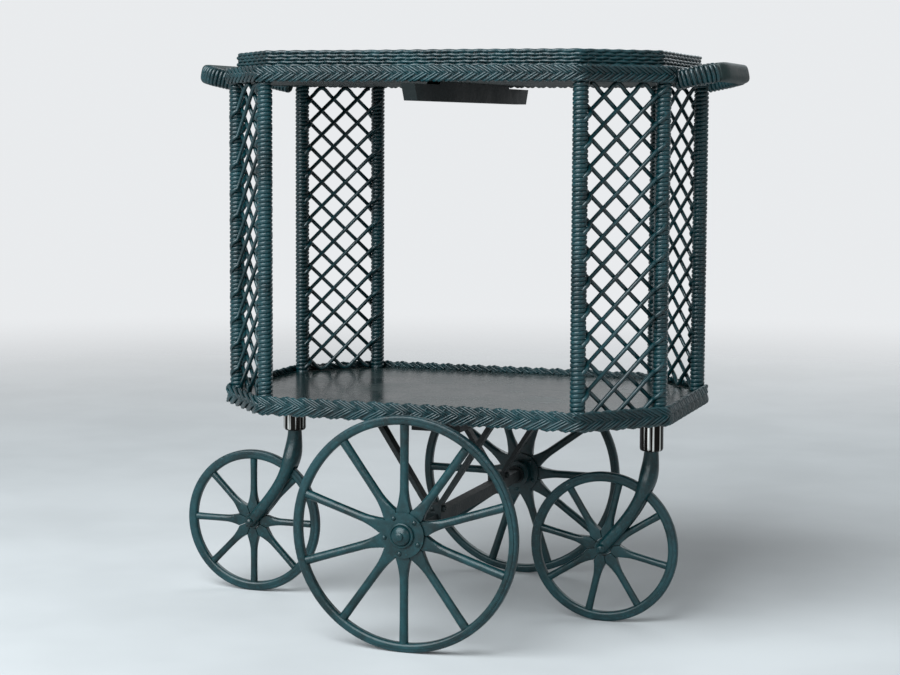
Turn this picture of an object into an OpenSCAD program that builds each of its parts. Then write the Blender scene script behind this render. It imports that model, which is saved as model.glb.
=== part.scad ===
// Wicker tea cart: two octagonal trays on eight wrapped posts with reed lattice in the
// four corners, a pair of large spoked wheels on a hung axle and a small spoked caster
// at each end. Long direction is X, across is Y, up is Z, and the floor is Z = 0.

/* [Trays] */
// Distance between the end posts, centre to centre, along the cart
post_span_x = 592; // [490:1:720]
// Distance between the side posts, centre to centre, across the cart
post_span_y = 406; // [335:1:490]
// Length that a cut corner takes off the long side
corner_x = 83; // [70:1:100]
// Length that a cut corner takes off the short end
corner_y = 91; // [75:1:110]
// Clear height between the two boards
shelf_gap = 419.5; // [340:0.5:505]
// Thickness of both wooden boards
board_t = 12; // [9:0.5:16]
// Corner radius of the braided borders
rim_round = 14; // [8:1:18]

/* [Braided borders] */
// Thickness of the braid, outwards from the board's edge
braid_t = 5.5; // [4:0.5:9]
// Height of the upper tray's braid
top_braid_h = 22; // [18:1:28]
// How far the upper braid stands above its board
top_braid_over = 8; // [4:0.5:10]
// Height of the lower tray's braid
lower_braid_h = 27; // [20:0.5:32]
// How far the lower braid stands above its board
lower_braid_over = 9.5; // [4:0.5:12]
// Number of woven rows in the raised gallery
gallery_rows_n = 5; // [3:1:7]
// Distance from one woven row to the next
gallery_pitch = 4.8; // [4.4:0.1:6]
// Thickness of a woven row, from inside to outside
gallery_row_t = 4.6; // [3:0.1:6]
// How far the gallery stands in from the braid's outer face
gallery_inset = 15; // [11:0.5:20]
// Diameter of the gallery's upright stakes
stake_d = 3.4; // [2.5:0.1:4]
// Greatest distance between neighbouring stakes
stake_gap = 30; // [24:1:50]

/* [Posts and lattice] */
// Diameter of a post over its reed wrapping
post_d = 20.6; // [17:0.2:25]
// Diameter of the tenon at each end of a post
tenon_d = 10; // [8:0.5:12]
// Length of the tenon
tenon_l = 8; // [6:0.5:9]
// Depth of the seats for posts and lattice in the lower board
seat_depth = 1.2; // [0.8:0.1:2]
// Diameter of a lattice reed
reed_d = 5.6; // [3.5:0.1:6.5]
// Number of half diamonds across a lattice panel
lattice_across = 5.3; // [4:0.1:7]
// Number of diamonds up a lattice panel
lattice_up = 12; // [10:0.5:14]

/* [Handles] */
// How far a handle reaches beyond the braid
handle_reach = 60; // [50:1:90]
// How far the outer sides of a handle's legs stand inside the end posts' centres
handle_inset = 6.5; // [0:0.5:20]
// Thickness of the handle's bar, seen from above
handle_t = 21; // [14:0.5:24]
// Height of the handle's bar
handle_h = 23; // [20:0.5:28]
// Radius of the handle's corners, to the middle of the bar
handle_r = 38; // [24:1:48]
// Angle at which the handle rises outwards
handle_tilt = 12; // [0:1:14]

/* [Large wheels] */
// Radius of a large wheel over its tyre
wheel_r = 152; // [126:1:183]
// Gap from the lower braid to the middle plane of a large wheel
wheel_side_gap = 30; // [26:0.5:50]
// Number of spokes in a large wheel
wheel_spokes_n = 10; // [8:1:12]
// Radial depth and width of the wooden rim
wheel_rim = [7, 13];
// Radial depth and width of the tyre
wheel_tyre = [5, 11];
// Radius of the hub barrel
barrel_r = 16.5; // [13:0.5:18]
// Radius of the hub's clamping plates
plate_r = 29.5; // [28:0.5:33]
// Thickness of a clamping plate
plate_t = 3; // [2:0.5:4]
// Number of bolts through the plates, and the radius of their circle
plate_bolts = [5, 24];
// Half thickness of a spoke's round part
spoke_r = 5.5; // [4:0.1:5.7]
// Side of the square axle bar
axle_sq = 16; // [14:0.5:20]
// Radius of the axle's turned ends
journal_r = 5.95; // [5:0.05:7]

/* [Casters] */
// How far a caster's swivel axis stands in from the end posts
caster_inset = 36.5; // [30:0.5:60]
// Radius of a caster wheel over its tyre
caster_r = 102; // [85:1:123]
// Trail of the caster wheel behind its swivel axis
caster_trail = 64; // [50:1:75]
// Number of spokes in a caster wheel
caster_spokes_n = 8; // [6:1:10]
// Radial depth and width of the caster's wooden rim
caster_rim = [7, 12];
// Radial depth and width of the caster's tyre
caster_tyre = [6, 11];
// Half thickness of a caster spoke's round part
caster_spoke_r = 4.8; // [4:0.1:5.4]
// Distance from the caster's tread to the middle of its fork's crown
crown_away = 21.4; // [20:0.1:30]
// Radius of the polished socket
socket_r = 15.8; // [14:0.2:18]
// Length of the polished socket
socket_l = 49.1; // [40:0.1:60]
// Radius of the fork's stem
stem_r = 5.5; // [4.5:0.1:6.5]
// Gap between the two prongs of the fork
fork_gap = 17.6; // [15:0.2:22]
// Thickness of one prong
prong_t = 8; // [6:0.5:10]
// Radius of the bolt that carries the caster wheel
caster_bolt_r = 4; // [3:0.1:4.5]

/* [Frame] */
// How far the batten under the upper board reaches beyond the side posts
batten_out = 39; // [20:1:45]
// How far the axle's hangers stand in from the side posts
hanger_inset = 66; // [60:1:100]

/* [Fits] */
// Radial clearance of parts that turn on each other
run_gap = 0.05; // [0.02:0.01:0.1]
// Gap between parts that are fastened to each other
seat_gap = 0.2; // [0.1:0.05:0.3]
// Gap between a fastener and its hole
bolt_gap = 0.2; // [0.1:0.05:0.4]

/* [Hidden] */
$fn = 48;
paint = [0.08, 0.19, 0.20];
paint_dark = [0.06, 0.14, 0.15];
reed_paint = [0.10, 0.23, 0.24];
metal = [0.45, 0.47, 0.48];
tyre_paint = [0.09, 0.17, 0.17];

// Post octagon: half length, half width, and the halves of its long and short sides
half_x = post_span_x / 2;
half_y = post_span_y / 2;
side_x = half_x - corner_x;
side_y = half_y - corner_y;
corner_l = sqrt(corner_x * corner_x + corner_y * corner_y);
corner_n = [corner_y / corner_l, corner_x / corner_l];
corner_c = corner_n * [side_x, half_y];

// Offsets from the post octagon
board_off = post_d / 2;
braid_in = board_off + seat_gap;
braid_out = braid_in + braid_t;
post_round = board_off * tan(20);
row_out = braid_out - gallery_inset;
row_in = row_out - gallery_row_t;

// Casters: the crown of the fork clears the tread, and the fork's neck carries the socket
caster_x = half_x - caster_inset;
crown_x = -2.5;
crown_drop = 27;
crown_z = caster_r + sqrt(pow(caster_r + crown_away, 2) - pow(caster_trail + crown_x, 2));
neck_z = crown_z + crown_drop;
neck_r = 9.75;
neck_gap = 0.4;
socket_z = neck_z + neck_gap;
stem_l = 44;
hub_half = fork_gap / 2 - 0.4;
caster_hub_r = 11;
caster_rim_in = caster_r - caster_tyre[0] - caster_rim[0];

// Heights, built up from the sockets
rail_t = 8;
rail_z = socket_z + socket_l;
lower_board_z = rail_z + rail_t;
lower_tray_z = lower_board_z + board_t;
post_foot_z = lower_tray_z - seat_depth;
top_board_z = lower_tray_z + shelf_gap;
top_tray_z = top_board_z + board_t;
lower_braid_z = lower_tray_z + lower_braid_over - lower_braid_h;
top_braid_z = top_tray_z + top_braid_over - top_braid_h;
gallery_z = top_tray_z + 4.6;
gallery_h = gallery_rows_n * gallery_pitch - 0.6;
layer_gap = 0.2;

// Handles, pinned into the upper board's edge
handle_round = 6.5;
handle_w = 2 * (side_y - handle_inset);
handle_root_z = top_board_z + 3;
handle_pin_r = 3.5;
stake_seat = board_t / 2 - handle_pin_r - bolt_gap / 2 - 0.2;

// Batten across the underside of the upper board, its ends bevelled and relieved
batten_w = 18;
batten_z = top_board_z - 25.4;
batten_half = half_y + batten_out;
batten_bevel = 11;
batten_relief = 4;
batten_seat = half_y - 53;
screw_ys = [-1, 0, 1] * (half_y - 83);

// Frame under the lower board
rail_w = 40;
hanger_y = half_y - hanger_inset;
bolster_w = 68;
bolster_half = hanger_y - 5;
bolster_z = rail_z - 18.5;
caster_rail_w = 60;
rail_end = caster_x - caster_rail_w / 2 - seat_gap;

// Axle hangers of flat iron
strap_t = 4.5;
strap_w = 16;
hanger_top_x = 80;
foot_l = 26;
clip_z = wheel_r + axle_sq / 2 + 6;
side_top_z = clip_z + 6;
axle_in = axle_sq / 2 + seat_gap;
foot_bolt_x = hanger_top_x + foot_l / 2 + 1;
foot_bolt_r = 3;
clip_r = 2.5;
stud_r = 1.6;
stud_l = 4.6;

// Large wheel: outward places are measured from its middle plane
wheel_y = half_y + braid_out + wheel_side_gap;
root_t = 11.6;
plate_s = root_t / 2 + seat_gap;
plate_face = plate_s + plate_t;
barrel_back = 26;
shoulder_y = wheel_y - barrel_back - 4;
cap_ring_r = 16.5;
cap_dome_r = 12.8;
cap_nose_r = 5.5;
cap_ring_h = 4;
cap_dome_h = 7;
rim_in_r = wheel_r - wheel_tyre[0] - wheel_rim[0];
bolt_turn = -8;

// The casters trail to one side, so the cart is moved along X until its box is centred
handle_out_x = half_x + braid_out + (handle_reach - handle_round) * cos(handle_tilt)
    + (handle_h / 2 - handle_round) * sin(handle_tilt) + handle_round;
centre_x = (handle_out_x - caster_x - caster_trail - caster_r) / 2;

// Post centres, counter-clockwise from the near left one
POSTS = [
    [-side_x, -half_y], [side_x, -half_y], [half_x, -side_y], [half_x, side_y],
    [side_x, half_y], [-side_x, half_y], [-half_x, side_y], [-half_x, -side_y]
];

// Octagon at a distance d outside the post octagon
function long_half(d) = (corner_c + d - corner_n[1] * (half_y + d)) / corner_n[0];
function end_half(d) = (corner_c + d - corner_n[0] * (half_x + d)) / corner_n[1];
function octagon(d) = let (a = long_half(d), b = end_half(d), x = half_x + d, y = half_y + d)
    [[-a, -y], [a, -y], [x, -b], [x, b], [a, y], [-a, y], [-x, b], [-x, -b]];

// A corner p between the points q and s, rounded by a curve that starts a length t away
function bend(q, p, s, t, n = 6) = let (
    u = (q - p) / norm(q - p), v = (s - p) / norm(s - p)
) [for (i = [0:n]) let (k = i / n)
    (1 - k) * (1 - k) * (p + u * t) + 2 * k * (1 - k) * p + k * k * (p + v * t)];
function soft_octagon(d, t) = let (o = octagon(d))
    [for (i = [0:7]) each bend(o[(i + 7) % 8], o[i], o[(i + 1) % 8], t)];

// Rectangle with round corners, as points
function soft_rect(x0, y0, x1, y1, r, n = 4) = [
    for (c = [[x1 - r, y1 - r, 0], [x0 + r, y1 - r, 90], [x0 + r, y0 + r, 180], [x1 - r, y0 + r, 270]])
        for (i = [0:n]) let (a = c[2] + 90 * i / n) [c[0] + r * cos(a), c[1] + r * sin(a)]
];

module centred() {
    translate([-centre_x, 0, 0]) children();
}

// Trays
module slab(d, t, z0, z1) {
    translate([0, 0, z0]) linear_extrude(z1 - z0) polygon(soft_octagon(d, t));
}

module post_holes(z0) {
    for (p = POSTS) translate([p[0], p[1], z0]) cylinder(h = tenon_l + 0.5, d = tenon_d + bolt_gap);
}

// Seats in the lower board for the feet of the posts and the lower ends of the lattice
module post_seats() {
    w = 2 * (reed_d + layer_gap / 2 + seat_gap);
    for (p = POSTS) translate([p[0], p[1], post_foot_z]) cylinder(h = seat_depth + 1, r = board_off + seat_gap);
    for (i = [1:2:7]) let (p = POSTS[i], q = POSTS[(i + 1) % 8])
        translate([p[0], p[1], post_foot_z]) rotate([0, 0, atan2(q[1] - p[1], q[0] - p[0])])
            translate([0, -w / 2, 0]) cube([norm(q - p), w, seat_depth + 1]);
}

// Places of the gallery's stakes, which stand in holes in the upper board
function stakes() = let (o = octagon(row_in - stake_d / 2 - seat_gap)) [
    for (i = [0:7])
        let (p = o[i], q = o[(i + 1) % 8], l = norm(q - p), w = l - 2 * rim_round, n = ceil(w / stake_gap))
            for (k = [0:n]) p + (q - p) * (rim_round + w * k / n) / l
];

module handle_holes() {
    for (s = [-1, 1], y = [-1, 1])
        translate([s * (half_x + board_off + 1), y * (handle_w - handle_t) / 2, top_board_z + board_t / 2])
            rotate([0, -s * 90, 0]) cylinder(h = 24, r = handle_pin_r + bolt_gap / 2);
}
module top_board() {
    color(paint) difference() {
        slab(board_off, post_round, top_board_z, top_tray_z);
        post_holes(top_board_z - 0.01);
        handle_holes();
        batten_holes(top_board_z - 1, 9);
        for (c = stakes()) translate([c[0], c[1], top_tray_z - stake_seat])
            cylinder(h = stake_seat + 1, d = stake_d + bolt_gap);
    }
}

module lower_board() {
    color(paint) difference() {
        slab(board_off, post_round, lower_board_z, lower_tray_z);
        post_holes(post_foot_z - tenon_l - 0.5);
        post_seats();
    }
}

// Braided border, fullest at the middle of its height and drawn in above and below
module braid(z0, h) {
    draw_in = 0.28;
    difference() {
        union() {
            hull() {
                slab(braid_out - braid_t * draw_in, rim_round, z0, z0 + 0.5);
                slab(braid_out, rim_round, z0 + h * 0.3, z0 + h * 0.3 + 0.5);
            }
            slab(braid_out, rim_round, z0 + h * 0.3, z0 + h * 0.7);
            hull() {
                slab(braid_out, rim_round, z0 + h * 0.7 - 0.5, z0 + h * 0.7);
                slab(braid_out - braid_t * draw_in, rim_round, z0 + h - 0.5, z0 + h);
            }
        }
        slab(braid_in, post_round, z0 - 1, z0 + h + 1);
    }
}

module top_braid() {
    w = handle_t + 2 * 0.3;
    color(reed_paint) difference() {
        braid(top_braid_z, top_braid_h);
        for (s = [-1, 1], y = [-1, 1])
            translate([s * (half_x + braid_in + braid_t / 2) - braid_t, y * (handle_w - handle_t) / 2 - w / 2,
                       top_braid_z - 1])
                cube([2 * braid_t, w, handle_root_z + handle_h / 2 + 3 - top_braid_z + 1]);
    }
}

module lower_braid() {
    color(reed_paint) braid(lower_braid_z, lower_braid_h);
}

// Gallery: woven rows outside upright stakes
module gallery_rows() {
    groove = 0.9;
    color(reed_paint) difference() {
        union() {
            slab(row_out - groove, rim_round * 0.8, gallery_z, gallery_z + gallery_h);
            for (i = [0:gallery_rows_n - 1]) let (z = gallery_z + i * gallery_pitch)
                slab(row_out, rim_round * 0.8, z, z + gallery_pitch - 0.6);
        }
        slab(row_in, rim_round * 0.7, gallery_z - 1, gallery_z + gallery_h + 1);
    }
}

module gallery_stakes() {
    top = gallery_z + gallery_h - 0.5;
    color(reed_paint) for (c = stakes()) translate([c[0], c[1], top_tray_z - stake_seat + 0.1])
        cylinder(h = top - top_tray_z + stake_seat, d = stake_d, $fn = 8);
}

module batten_holes(z0, h) {
    for (y = screw_ys) translate([0, y, z0]) cylinder(h = h, r = 2.2 + bolt_gap / 2);
}

module top_batten() {
    color(paint_dark) difference() {
        translate([batten_w / 2, 0, 0]) rotate([0, -90, 0]) linear_extrude(batten_w) polygon([
            [batten_z, -(batten_half - batten_bevel)], [top_board_z - batten_relief, -batten_half],
            [top_board_z - batten_relief, -batten_seat], [top_board_z - seat_gap / 2, -batten_seat + 6],
            [top_board_z - seat_gap / 2, batten_seat - 6], [top_board_z - batten_relief, batten_seat],
            [top_board_z - batten_relief, batten_half], [batten_z, batten_half - batten_bevel]
        ]);
        batten_holes(batten_z - 1, 40);
        for (y = screw_ys) translate([0, y, batten_z - 0.01]) cylinder(h = 2.5, r1 = 4.6, r2 = 2.3);
    }
}

module batten_screws() {
    color(metal) for (y = screw_ys) translate([0, y, batten_z + 0.1]) {
        cylinder(h = 2.3, r1 = 4.3, r2 = 2.2);
        cylinder(h = 33, r = 2.2);
    }
}

// Posts
module post(i) {
    color(reed_paint) translate([POSTS[i][0], POSTS[i][1], 0]) {
        l = top_board_z - post_foot_z;
        translate([0, 0, post_foot_z]) cylinder(h = l, d = post_d);
        translate([0, 0, post_foot_z - tenon_l]) cylinder(h = l + 2 * tenon_l, d = tenon_d);
    }
}

// Lattice of crossing reeds between the posts i and i + 1, in two layers that just clear
module lattice(i) {
    p = POSTS[i];
    q = POSTS[i + 1];
    turn = atan2(q[1] - p[1], q[0] - p[0]);
    clear_w = norm(q - p) - post_d - 2 * seat_gap;
    h = top_board_z - post_foot_z - 2 * seat_gap;
    cell_w = clear_w / lattice_across;
    cell_h = h / lattice_up / 2;
    rise = atan2(cell_h, cell_w);
    rows = lattice_across + ceil(2 * lattice_up);
    color(reed_paint) translate([(p[0] + q[0]) / 2, (p[1] + q[1]) / 2, post_foot_z + seat_gap])
        rotate([0, 0, turn])
            for (s = [-1, 1]) intersection() {
                union() for (k = [0:ceil(rows / 2)])
                    translate([0, s * (reed_d + layer_gap) / 2, (2 * k - lattice_across / 2 + 0.5) * cell_h])
                        rotate([0, 90 - s * rise, 0])
                            cylinder(h = 4 * clear_w, d = reed_d, center = true, $fn = 24);
                translate([-clear_w / 2, -reed_d * 2, 0]) cube([clear_w, reed_d * 4, h]);
            }
}

// Handles
module handle_leg(l) {
    rotate([90, 0, 90]) linear_extrude(l)
        polygon(soft_rect(-handle_t / 2, -handle_h / 2, handle_t / 2, handle_h / 2, handle_round));
}

module handle_corner() {
    rotate_extrude(angle = 90) translate([handle_r, 0])
        polygon(soft_rect(-handle_t / 2, -handle_h / 2, handle_t / 2, handle_h / 2, handle_round));
}

module handle() {
    root_x = half_x + braid_out;
    bar_x = handle_reach - handle_t / 2;
    leg_y = (handle_w - handle_t) / 2;
    inset = 24;
    color(paint) difference() {
        union() {
            translate([root_x, 0, handle_root_z]) rotate([0, -handle_tilt, 0]) {
                for (y = [-1, 1]) translate([-inset, y * leg_y, 0]) handle_leg(bar_x - handle_r + inset);
                translate([bar_x - handle_r, leg_y - handle_r, 0]) handle_corner();
                mirror([0, 1, 0]) translate([bar_x - handle_r, leg_y - handle_r, 0]) handle_corner();
                translate([bar_x, -(leg_y - handle_r), 0]) rotate([0, 0, 90]) handle_leg(2 * (leg_y - handle_r));
            }
        }
        translate([root_x - 60, -handle_w, handle_root_z - 60])
            cube([60 - braid_t, 2 * handle_w, 120]);
    }
    color(paint) for (y = [-1, 1])
        translate([half_x + board_off - 22, y * leg_y, top_board_z + board_t / 2])
            rotate([0, 90, 0]) cylinder(h = 22 + 4, r = handle_pin_r);
}

// Rails under the lower board
module long_rails() {
    color(paint_dark) for (s = [-1, 1]) difference() {
        translate([-rail_end, s * hanger_y - rail_w / 2, rail_z]) cube([2 * rail_end, rail_w, rail_t - seat_gap / 2]);
        for (x = [-1, 1]) translate([x * foot_bolt_x, s * hanger_y, rail_z - 1])
            cylinder(h = rail_t + 2, r = foot_bolt_r + bolt_gap / 2);
    }
}

module caster_rails() {
    half = half_y - 100;
    color(paint_dark) for (s = [-1, 1])
        translate([s * caster_x - caster_rail_w / 2, -half, rail_z])
            cube([caster_rail_w, 2 * half, rail_t - seat_gap / 2]);
}

// Cross beam under the middle of the rails, between the legs of the hangers
module bolster() {
    color(paint_dark) translate([-bolster_w / 2, -bolster_half, bolster_z])
        cube([bolster_w, 2 * bolster_half, rail_z - bolster_z - seat_gap / 2]);
}

// Axle and its hangers
module axle() {
    end_y = wheel_y + plate_face + 6.5;
    color(paint_dark) {
        translate([-axle_sq / 2, -shoulder_y, wheel_r - axle_sq / 2]) cube([axle_sq, 2 * shoulder_y, axle_sq]);
        for (s = [-1, 1]) translate([0, s * (shoulder_y - 1), wheel_r]) rotate([-s * 90, 0, 0])
            cylinder(h = end_y - shoulder_y + 1, r = journal_r);
    }
}

module hanger(s) {
    half = [
        [axle_in + strap_t, wheel_r - axle_in - strap_t], [axle_in + strap_t, side_top_z],
        [hanger_top_x + strap_t * 0.8, rail_z - strap_t - seat_gap / 2],
        [hanger_top_x + foot_l, rail_z - strap_t - seat_gap / 2], [hanger_top_x + foot_l, rail_z - seat_gap / 2],
        [hanger_top_x - strap_t * 0.35, rail_z - seat_gap / 2], [axle_in, side_top_z + strap_t * 0.6],
        [axle_in, wheel_r - axle_in]
    ];
    color(paint_dark) translate([0, s * hanger_y, 0]) difference() {
        translate([0, strap_w / 2, 0]) rotate([90, 0, 0]) linear_extrude(strap_w)
            polygon(concat(half, [for (i = [7:-1:0]) [-half[i][0], half[i][1]]]));
        translate([0, 0, clip_z]) rotate([0, 90, 0]) cylinder(h = 60, r = clip_r + bolt_gap / 2, center = true);
        for (x = [-1, 1]) translate([x * foot_bolt_x, 0, rail_z - strap_t - 2])
            cylinder(h = strap_t + 4, r = foot_bolt_r + bolt_gap / 2);
    }
}

module saddle_blocks() {
    z0 = wheel_r + axle_sq / 2 + 0.1;
    h = side_top_z - z0;
    color(paint_dark) for (s = [-1, 1]) translate([0, s * hanger_y, 0]) difference() {
        translate([-axle_in + 0.1, -strap_w / 2, z0]) cube([2 * axle_in - 0.2, strap_w, h]);
        translate([0, 0, clip_z]) rotate([0, 90, 0]) cylinder(h = 60, r = clip_r + bolt_gap / 2, center = true);
        translate([0, s * (strap_w / 2 - stud_l - 0.1), clip_z]) rotate([-s * 90, 0, 0])
            cylinder(h = stud_l + 1, r = stud_r + bolt_gap / 2);
    }
}

module dome(r, h) {
    intersection() {
        translate([0, 0, h - (r * r + h * h) / (2 * h)]) sphere(r = (r * r + h * h) / (2 * h));
        cylinder(h = h + 1, r = r + 1);
    }
}

module hanger_bolts() {
    clip_half = axle_in + strap_t;
    color(metal) for (s = [-1, 1]) translate([0, s * hanger_y, 0]) {
        translate([-clip_half, 0, clip_z]) rotate([0, 90, 0]) {
            translate([0, 0, -seat_gap]) cylinder(h = 2 * clip_half + 5, r = clip_r);
            translate([0, 0, 2 * clip_half + seat_gap / 2]) cylinder(h = 3.5, r = 4.6, $fn = 6);
            translate([0, 0, -seat_gap / 2]) rotate([180, 0, 0]) dome(4.4, 3);
        }
        for (x = [-1, 1]) translate([x * foot_bolt_x, 0, rail_z - strap_t - seat_gap]) {
            translate([0, 0, -0.2]) cylinder(h = strap_t + rail_t - 1.2, r = foot_bolt_r);
            rotate([180, 0, 0]) dome(5.4, 3.6);
        }
        translate([0, s * (strap_w / 2 + 0.1), clip_z]) rotate([-s * 90, 0, 0]) {
            dome(stud_r * 1.9, 2);
            translate([0, 0, -stud_l]) cylinder(h = stud_l + 0.2, r = stud_r);
        }
    }
}

module ring(r_in, r_out, h) {
    difference() {
        cylinder(h = h, r = r_out);
        translate([0, 0, -1]) cylinder(h = h + 2, r = r_in);
    }
}

module axle_washers() {
    color(metal) for (s = [-1, 1]) translate([0, s * (shoulder_y + 0.15), wheel_r]) rotate([-s * 90, 0, 0])
        ring(journal_r + 0.15, 13, 3.6);
}

// Nut on each end of the axle, inside the hub cap
module axle_nuts() {
    color(metal) for (s = [-1, 1]) translate([0, s * (wheel_y + plate_face + 0.4), wheel_r])
        rotate([-s * 90, 0, 0]) difference() {
            cylinder(h = 4.6, r = 9.2, $fn = 6);
            translate([0, 0, -1]) cylinder(h = 7, r = journal_r + 0.12);
        }
}

// Large wheel, drawn about Z with its outer face up, then turned to stand
module stand_near() {
    translate([0, -wheel_y, wheel_r]) rotate([90, 0, 0]) children();
}

module stand_far() {
    mirror([0, 1, 0]) stand_near() children();
}

module wheel_hub() {
    color(paint) difference() {
        union() {
            translate([0, 0, -barrel_back]) cylinder(h = barrel_back + root_t / 2, r = barrel_r);
            translate([0, 0, -barrel_back]) cylinder(h = 5, r = barrel_r + 2.5);
        }
        translate([0, 0, -barrel_back - 1]) cylinder(h = 80, r = journal_r + run_gap);
    }
}

module plate_holes(r) {
    for (i = [0:plate_bolts[0] - 1]) rotate([0, 0, bolt_turn + 126 + i * 360 / plate_bolts[0]])
        translate([plate_bolts[1], 0, -40]) cylinder(h = 80, r = r, $fn = 24);
}

module wheel_plates() {
    color(paint) {
        difference() {
            translate([0, 0, plate_s]) ring(journal_r + 0.6, plate_r, plate_t);
            plate_holes(2.2);
        }
        difference() {
            translate([0, 0, -plate_face]) ring(barrel_r + seat_gap, plate_r, plate_t);
            plate_holes(2.2);
        }
    }
}

module wheel_plate_bolts() {
    color(paint) for (i = [0:plate_bolts[0] - 1])
        rotate([0, 0, bolt_turn + 126 + i * 360 / plate_bolts[0]]) translate([plate_bolts[1], 0, 0]) {
            translate([0, 0, -plate_face - 0.2]) cylinder(h = 2 * plate_face + 0.4, r = 2, $fn = 24);
            translate([0, 0, plate_face + 0.05]) dome(3.3, 2.4);
            translate([0, 0, -plate_face - 0.05]) rotate([180, 0, 0]) dome(3.3, 2);
        }
}

// Hub cap: a raised ring, a dome and a small nose, hollow over the axle nut
module wheel_cap() {
    inner_r = 10.4;
    inner_h = 6.6;
    lip = 2;
    dome_z = cap_ring_h - 0.8;
    nose_turn = acos(cap_nose_r / cap_dome_r);
    nose_z = dome_z + cap_dome_h * sin(nose_turn) + 1.9;
    color(paint) translate([0, 0, plate_face + 0.05]) rotate_extrude() polygon(concat(
        [[inner_r, 0], [cap_ring_r, 0]],
        [for (a = [0:18:90]) [cap_ring_r - lip + lip * cos(a), cap_ring_h - lip + lip * sin(a)]],
        [[cap_dome_r + 1, cap_ring_h]],
        [for (i = [0:6]) let (a = nose_turn * i / 6) [cap_dome_r * cos(a), dome_z + cap_dome_h * sin(a)]],
        [for (a = [0:15:75]) [cap_nose_r * cos(a), nose_z + 1.8 * sin(a)]],
        [[0, nose_z + 1.8], [0, inner_h], [inner_r, inner_h]]));
}

// Solid through a row of rings that have the same number of points
module loft(rings) {
    n = len(rings[0]);
    last = len(rings) - 1;
    middles = [for (r = [rings[0], rings[last]]) (r[0] + r[n / 2]) / 2];
    polyhedron(points = concat([for (r = rings) each r], middles), faces = concat(
        [for (i = [0:n - 1]) [i, (i + 1) % n, (last + 1) * n]],
        [for (i = [0:n - 1]) [last * n + (i + 1) % n, last * n + i, (last + 1) * n + 1]],
        [for (j = [0:last - 1], i = [0:n - 1]) let (a = j * n + i, b = j * n + (i + 1) % n)
            each [[a, a + n, b + n], [a, b + n, b]]]));
}

// Section with the half sizes w and t: an ellipse, or by the share q a rectangle
function oval(w, t, q, m = 16) = [for (i = [0:m - 1]) let (
    c = cos(360 * i / m), s = sin(360 * i / m), k = 1 - q + q / max(abs(c), abs(s))
) [w * c * k, t * s * k]];
function spoke_ring(x, w, t, q) = [for (p = oval(w, t, q)) [x, p[0], p[1]]];

// Spoke along +X: a wedge from r0 to r1, a hollow flare from there to r2, then a round bar to r3
module spoke(n, r0, r1, r2, r3, t, r) {
    gap = 0.3;
    w1 = r1 * tan(180 / n) - gap;
    loft(concat(
        [spoke_ring(r0, r0 * tan(180 / n) - gap, t / 2, 1)],
        [for (k = [0, 0.12, 0.32, 0.6, 1]) spoke_ring(
            r1 + (r2 - r1) * k, r + (w1 - r) * pow(1 - k, 2.4), r + (t / 2 - r) * pow(1 - k, 2), pow(1 - k, 1.4))],
        [spoke_ring(r3, r, r, 0)]));
}

module wheel_spokes(turn) {
    color(paint) difference() {
        for (i = [0:wheel_spokes_n - 1]) rotate([0, 0, turn + i * 360 / wheel_spokes_n])
            spoke(wheel_spokes_n, barrel_r + 0.6, plate_r + 1.5, plate_r + 33, rim_in_r - 0.3, root_t, spoke_r);
        plate_holes(2.3);
    }
}

// Rim with rounded inner edges
module rim_ring(r_in, r_out, w) {
    rotate_extrude($fn = 96) polygon(concat(
        [[r_out, -w / 2], [r_out, w / 2]],
        [for (a = [90:15:180]) [r_in + 4 + 4 * cos(a), w / 2 - 4 + 4 * sin(a)]],
        [for (a = [180:15:270]) [r_in + 4 + 4 * cos(a), -w / 2 + 4 + 4 * sin(a)]]));
}

// Tyre with a crowned tread
module tyre_ring(r_in, r_out, w) {
    c = 3;
    rotate_extrude($fn = 96) polygon(concat(
        [[r_in, w / 2], [r_in, -w / 2]],
        [for (a = [-90:18:0]) [r_out - c + c * cos(a), -w / 2 + c + c * sin(a)]],
        [for (a = [0:18:90]) [r_out - c + c * cos(a), w / 2 - c + c * sin(a)]]));
}

module wheel_rim_part() {
    color(paint) rim_ring(rim_in_r, wheel_r - wheel_tyre[0] - 0.1, wheel_rim[1]);
}

module wheel_tyre_part() {
    color(tyre_paint) tyre_ring(wheel_r - wheel_tyre[0], wheel_r, wheel_tyre[1]);
}

// Casters, drawn at their swivel axis with the wheel trailing towards -X
module at_caster(s) {
    translate([s * caster_x, 0, 0]) children();
}

module socket() {
    lip = 4;
    color(metal) difference() {
        translate([0, 0, socket_z]) rotate_extrude() polygon(concat(
            [[0, 0]],
            [for (a = [-90:15:0]) [socket_r - lip + lip * cos(a), lip + lip * sin(a)]],
            [[socket_r, socket_l - 3.1], [socket_r + 5, socket_l - 3], [socket_r + 5, socket_l - seat_gap / 2],
             [0, socket_l - seat_gap / 2]]));
        translate([0, 0, socket_z - 1]) cylinder(h = stem_l + 4, r = stem_r + run_gap);
    }
}

// Middle line of the fork's blades: down from the neck, then swept back to the wheel's bolt
fork_top = [0, neck_z];
fork_tip = [-caster_trail, caster_r];
fork_sweep = [sin(40), cos(40)];
fork_line = [fork_top, fork_top - [0, (neck_z - caster_r) * 0.47],
    fork_tip + fork_sweep * (neck_z - caster_r) * 0.41, fork_tip];
function fork_spot(k) = pow(1 - k, 3) * fork_line[0] + 3 * pow(1 - k, 2) * k * fork_line[1]
    + 3 * (1 - k) * k * k * fork_line[2] + pow(k, 3) * fork_line[3];
function fork_way(k) = let (
    d = pow(1 - k, 2) * (fork_line[1] - fork_line[0]) + 2 * (1 - k) * k * (fork_line[2] - fork_line[1])
        + k * k * (fork_line[3] - fork_line[2])
) d / norm(d);

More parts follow.
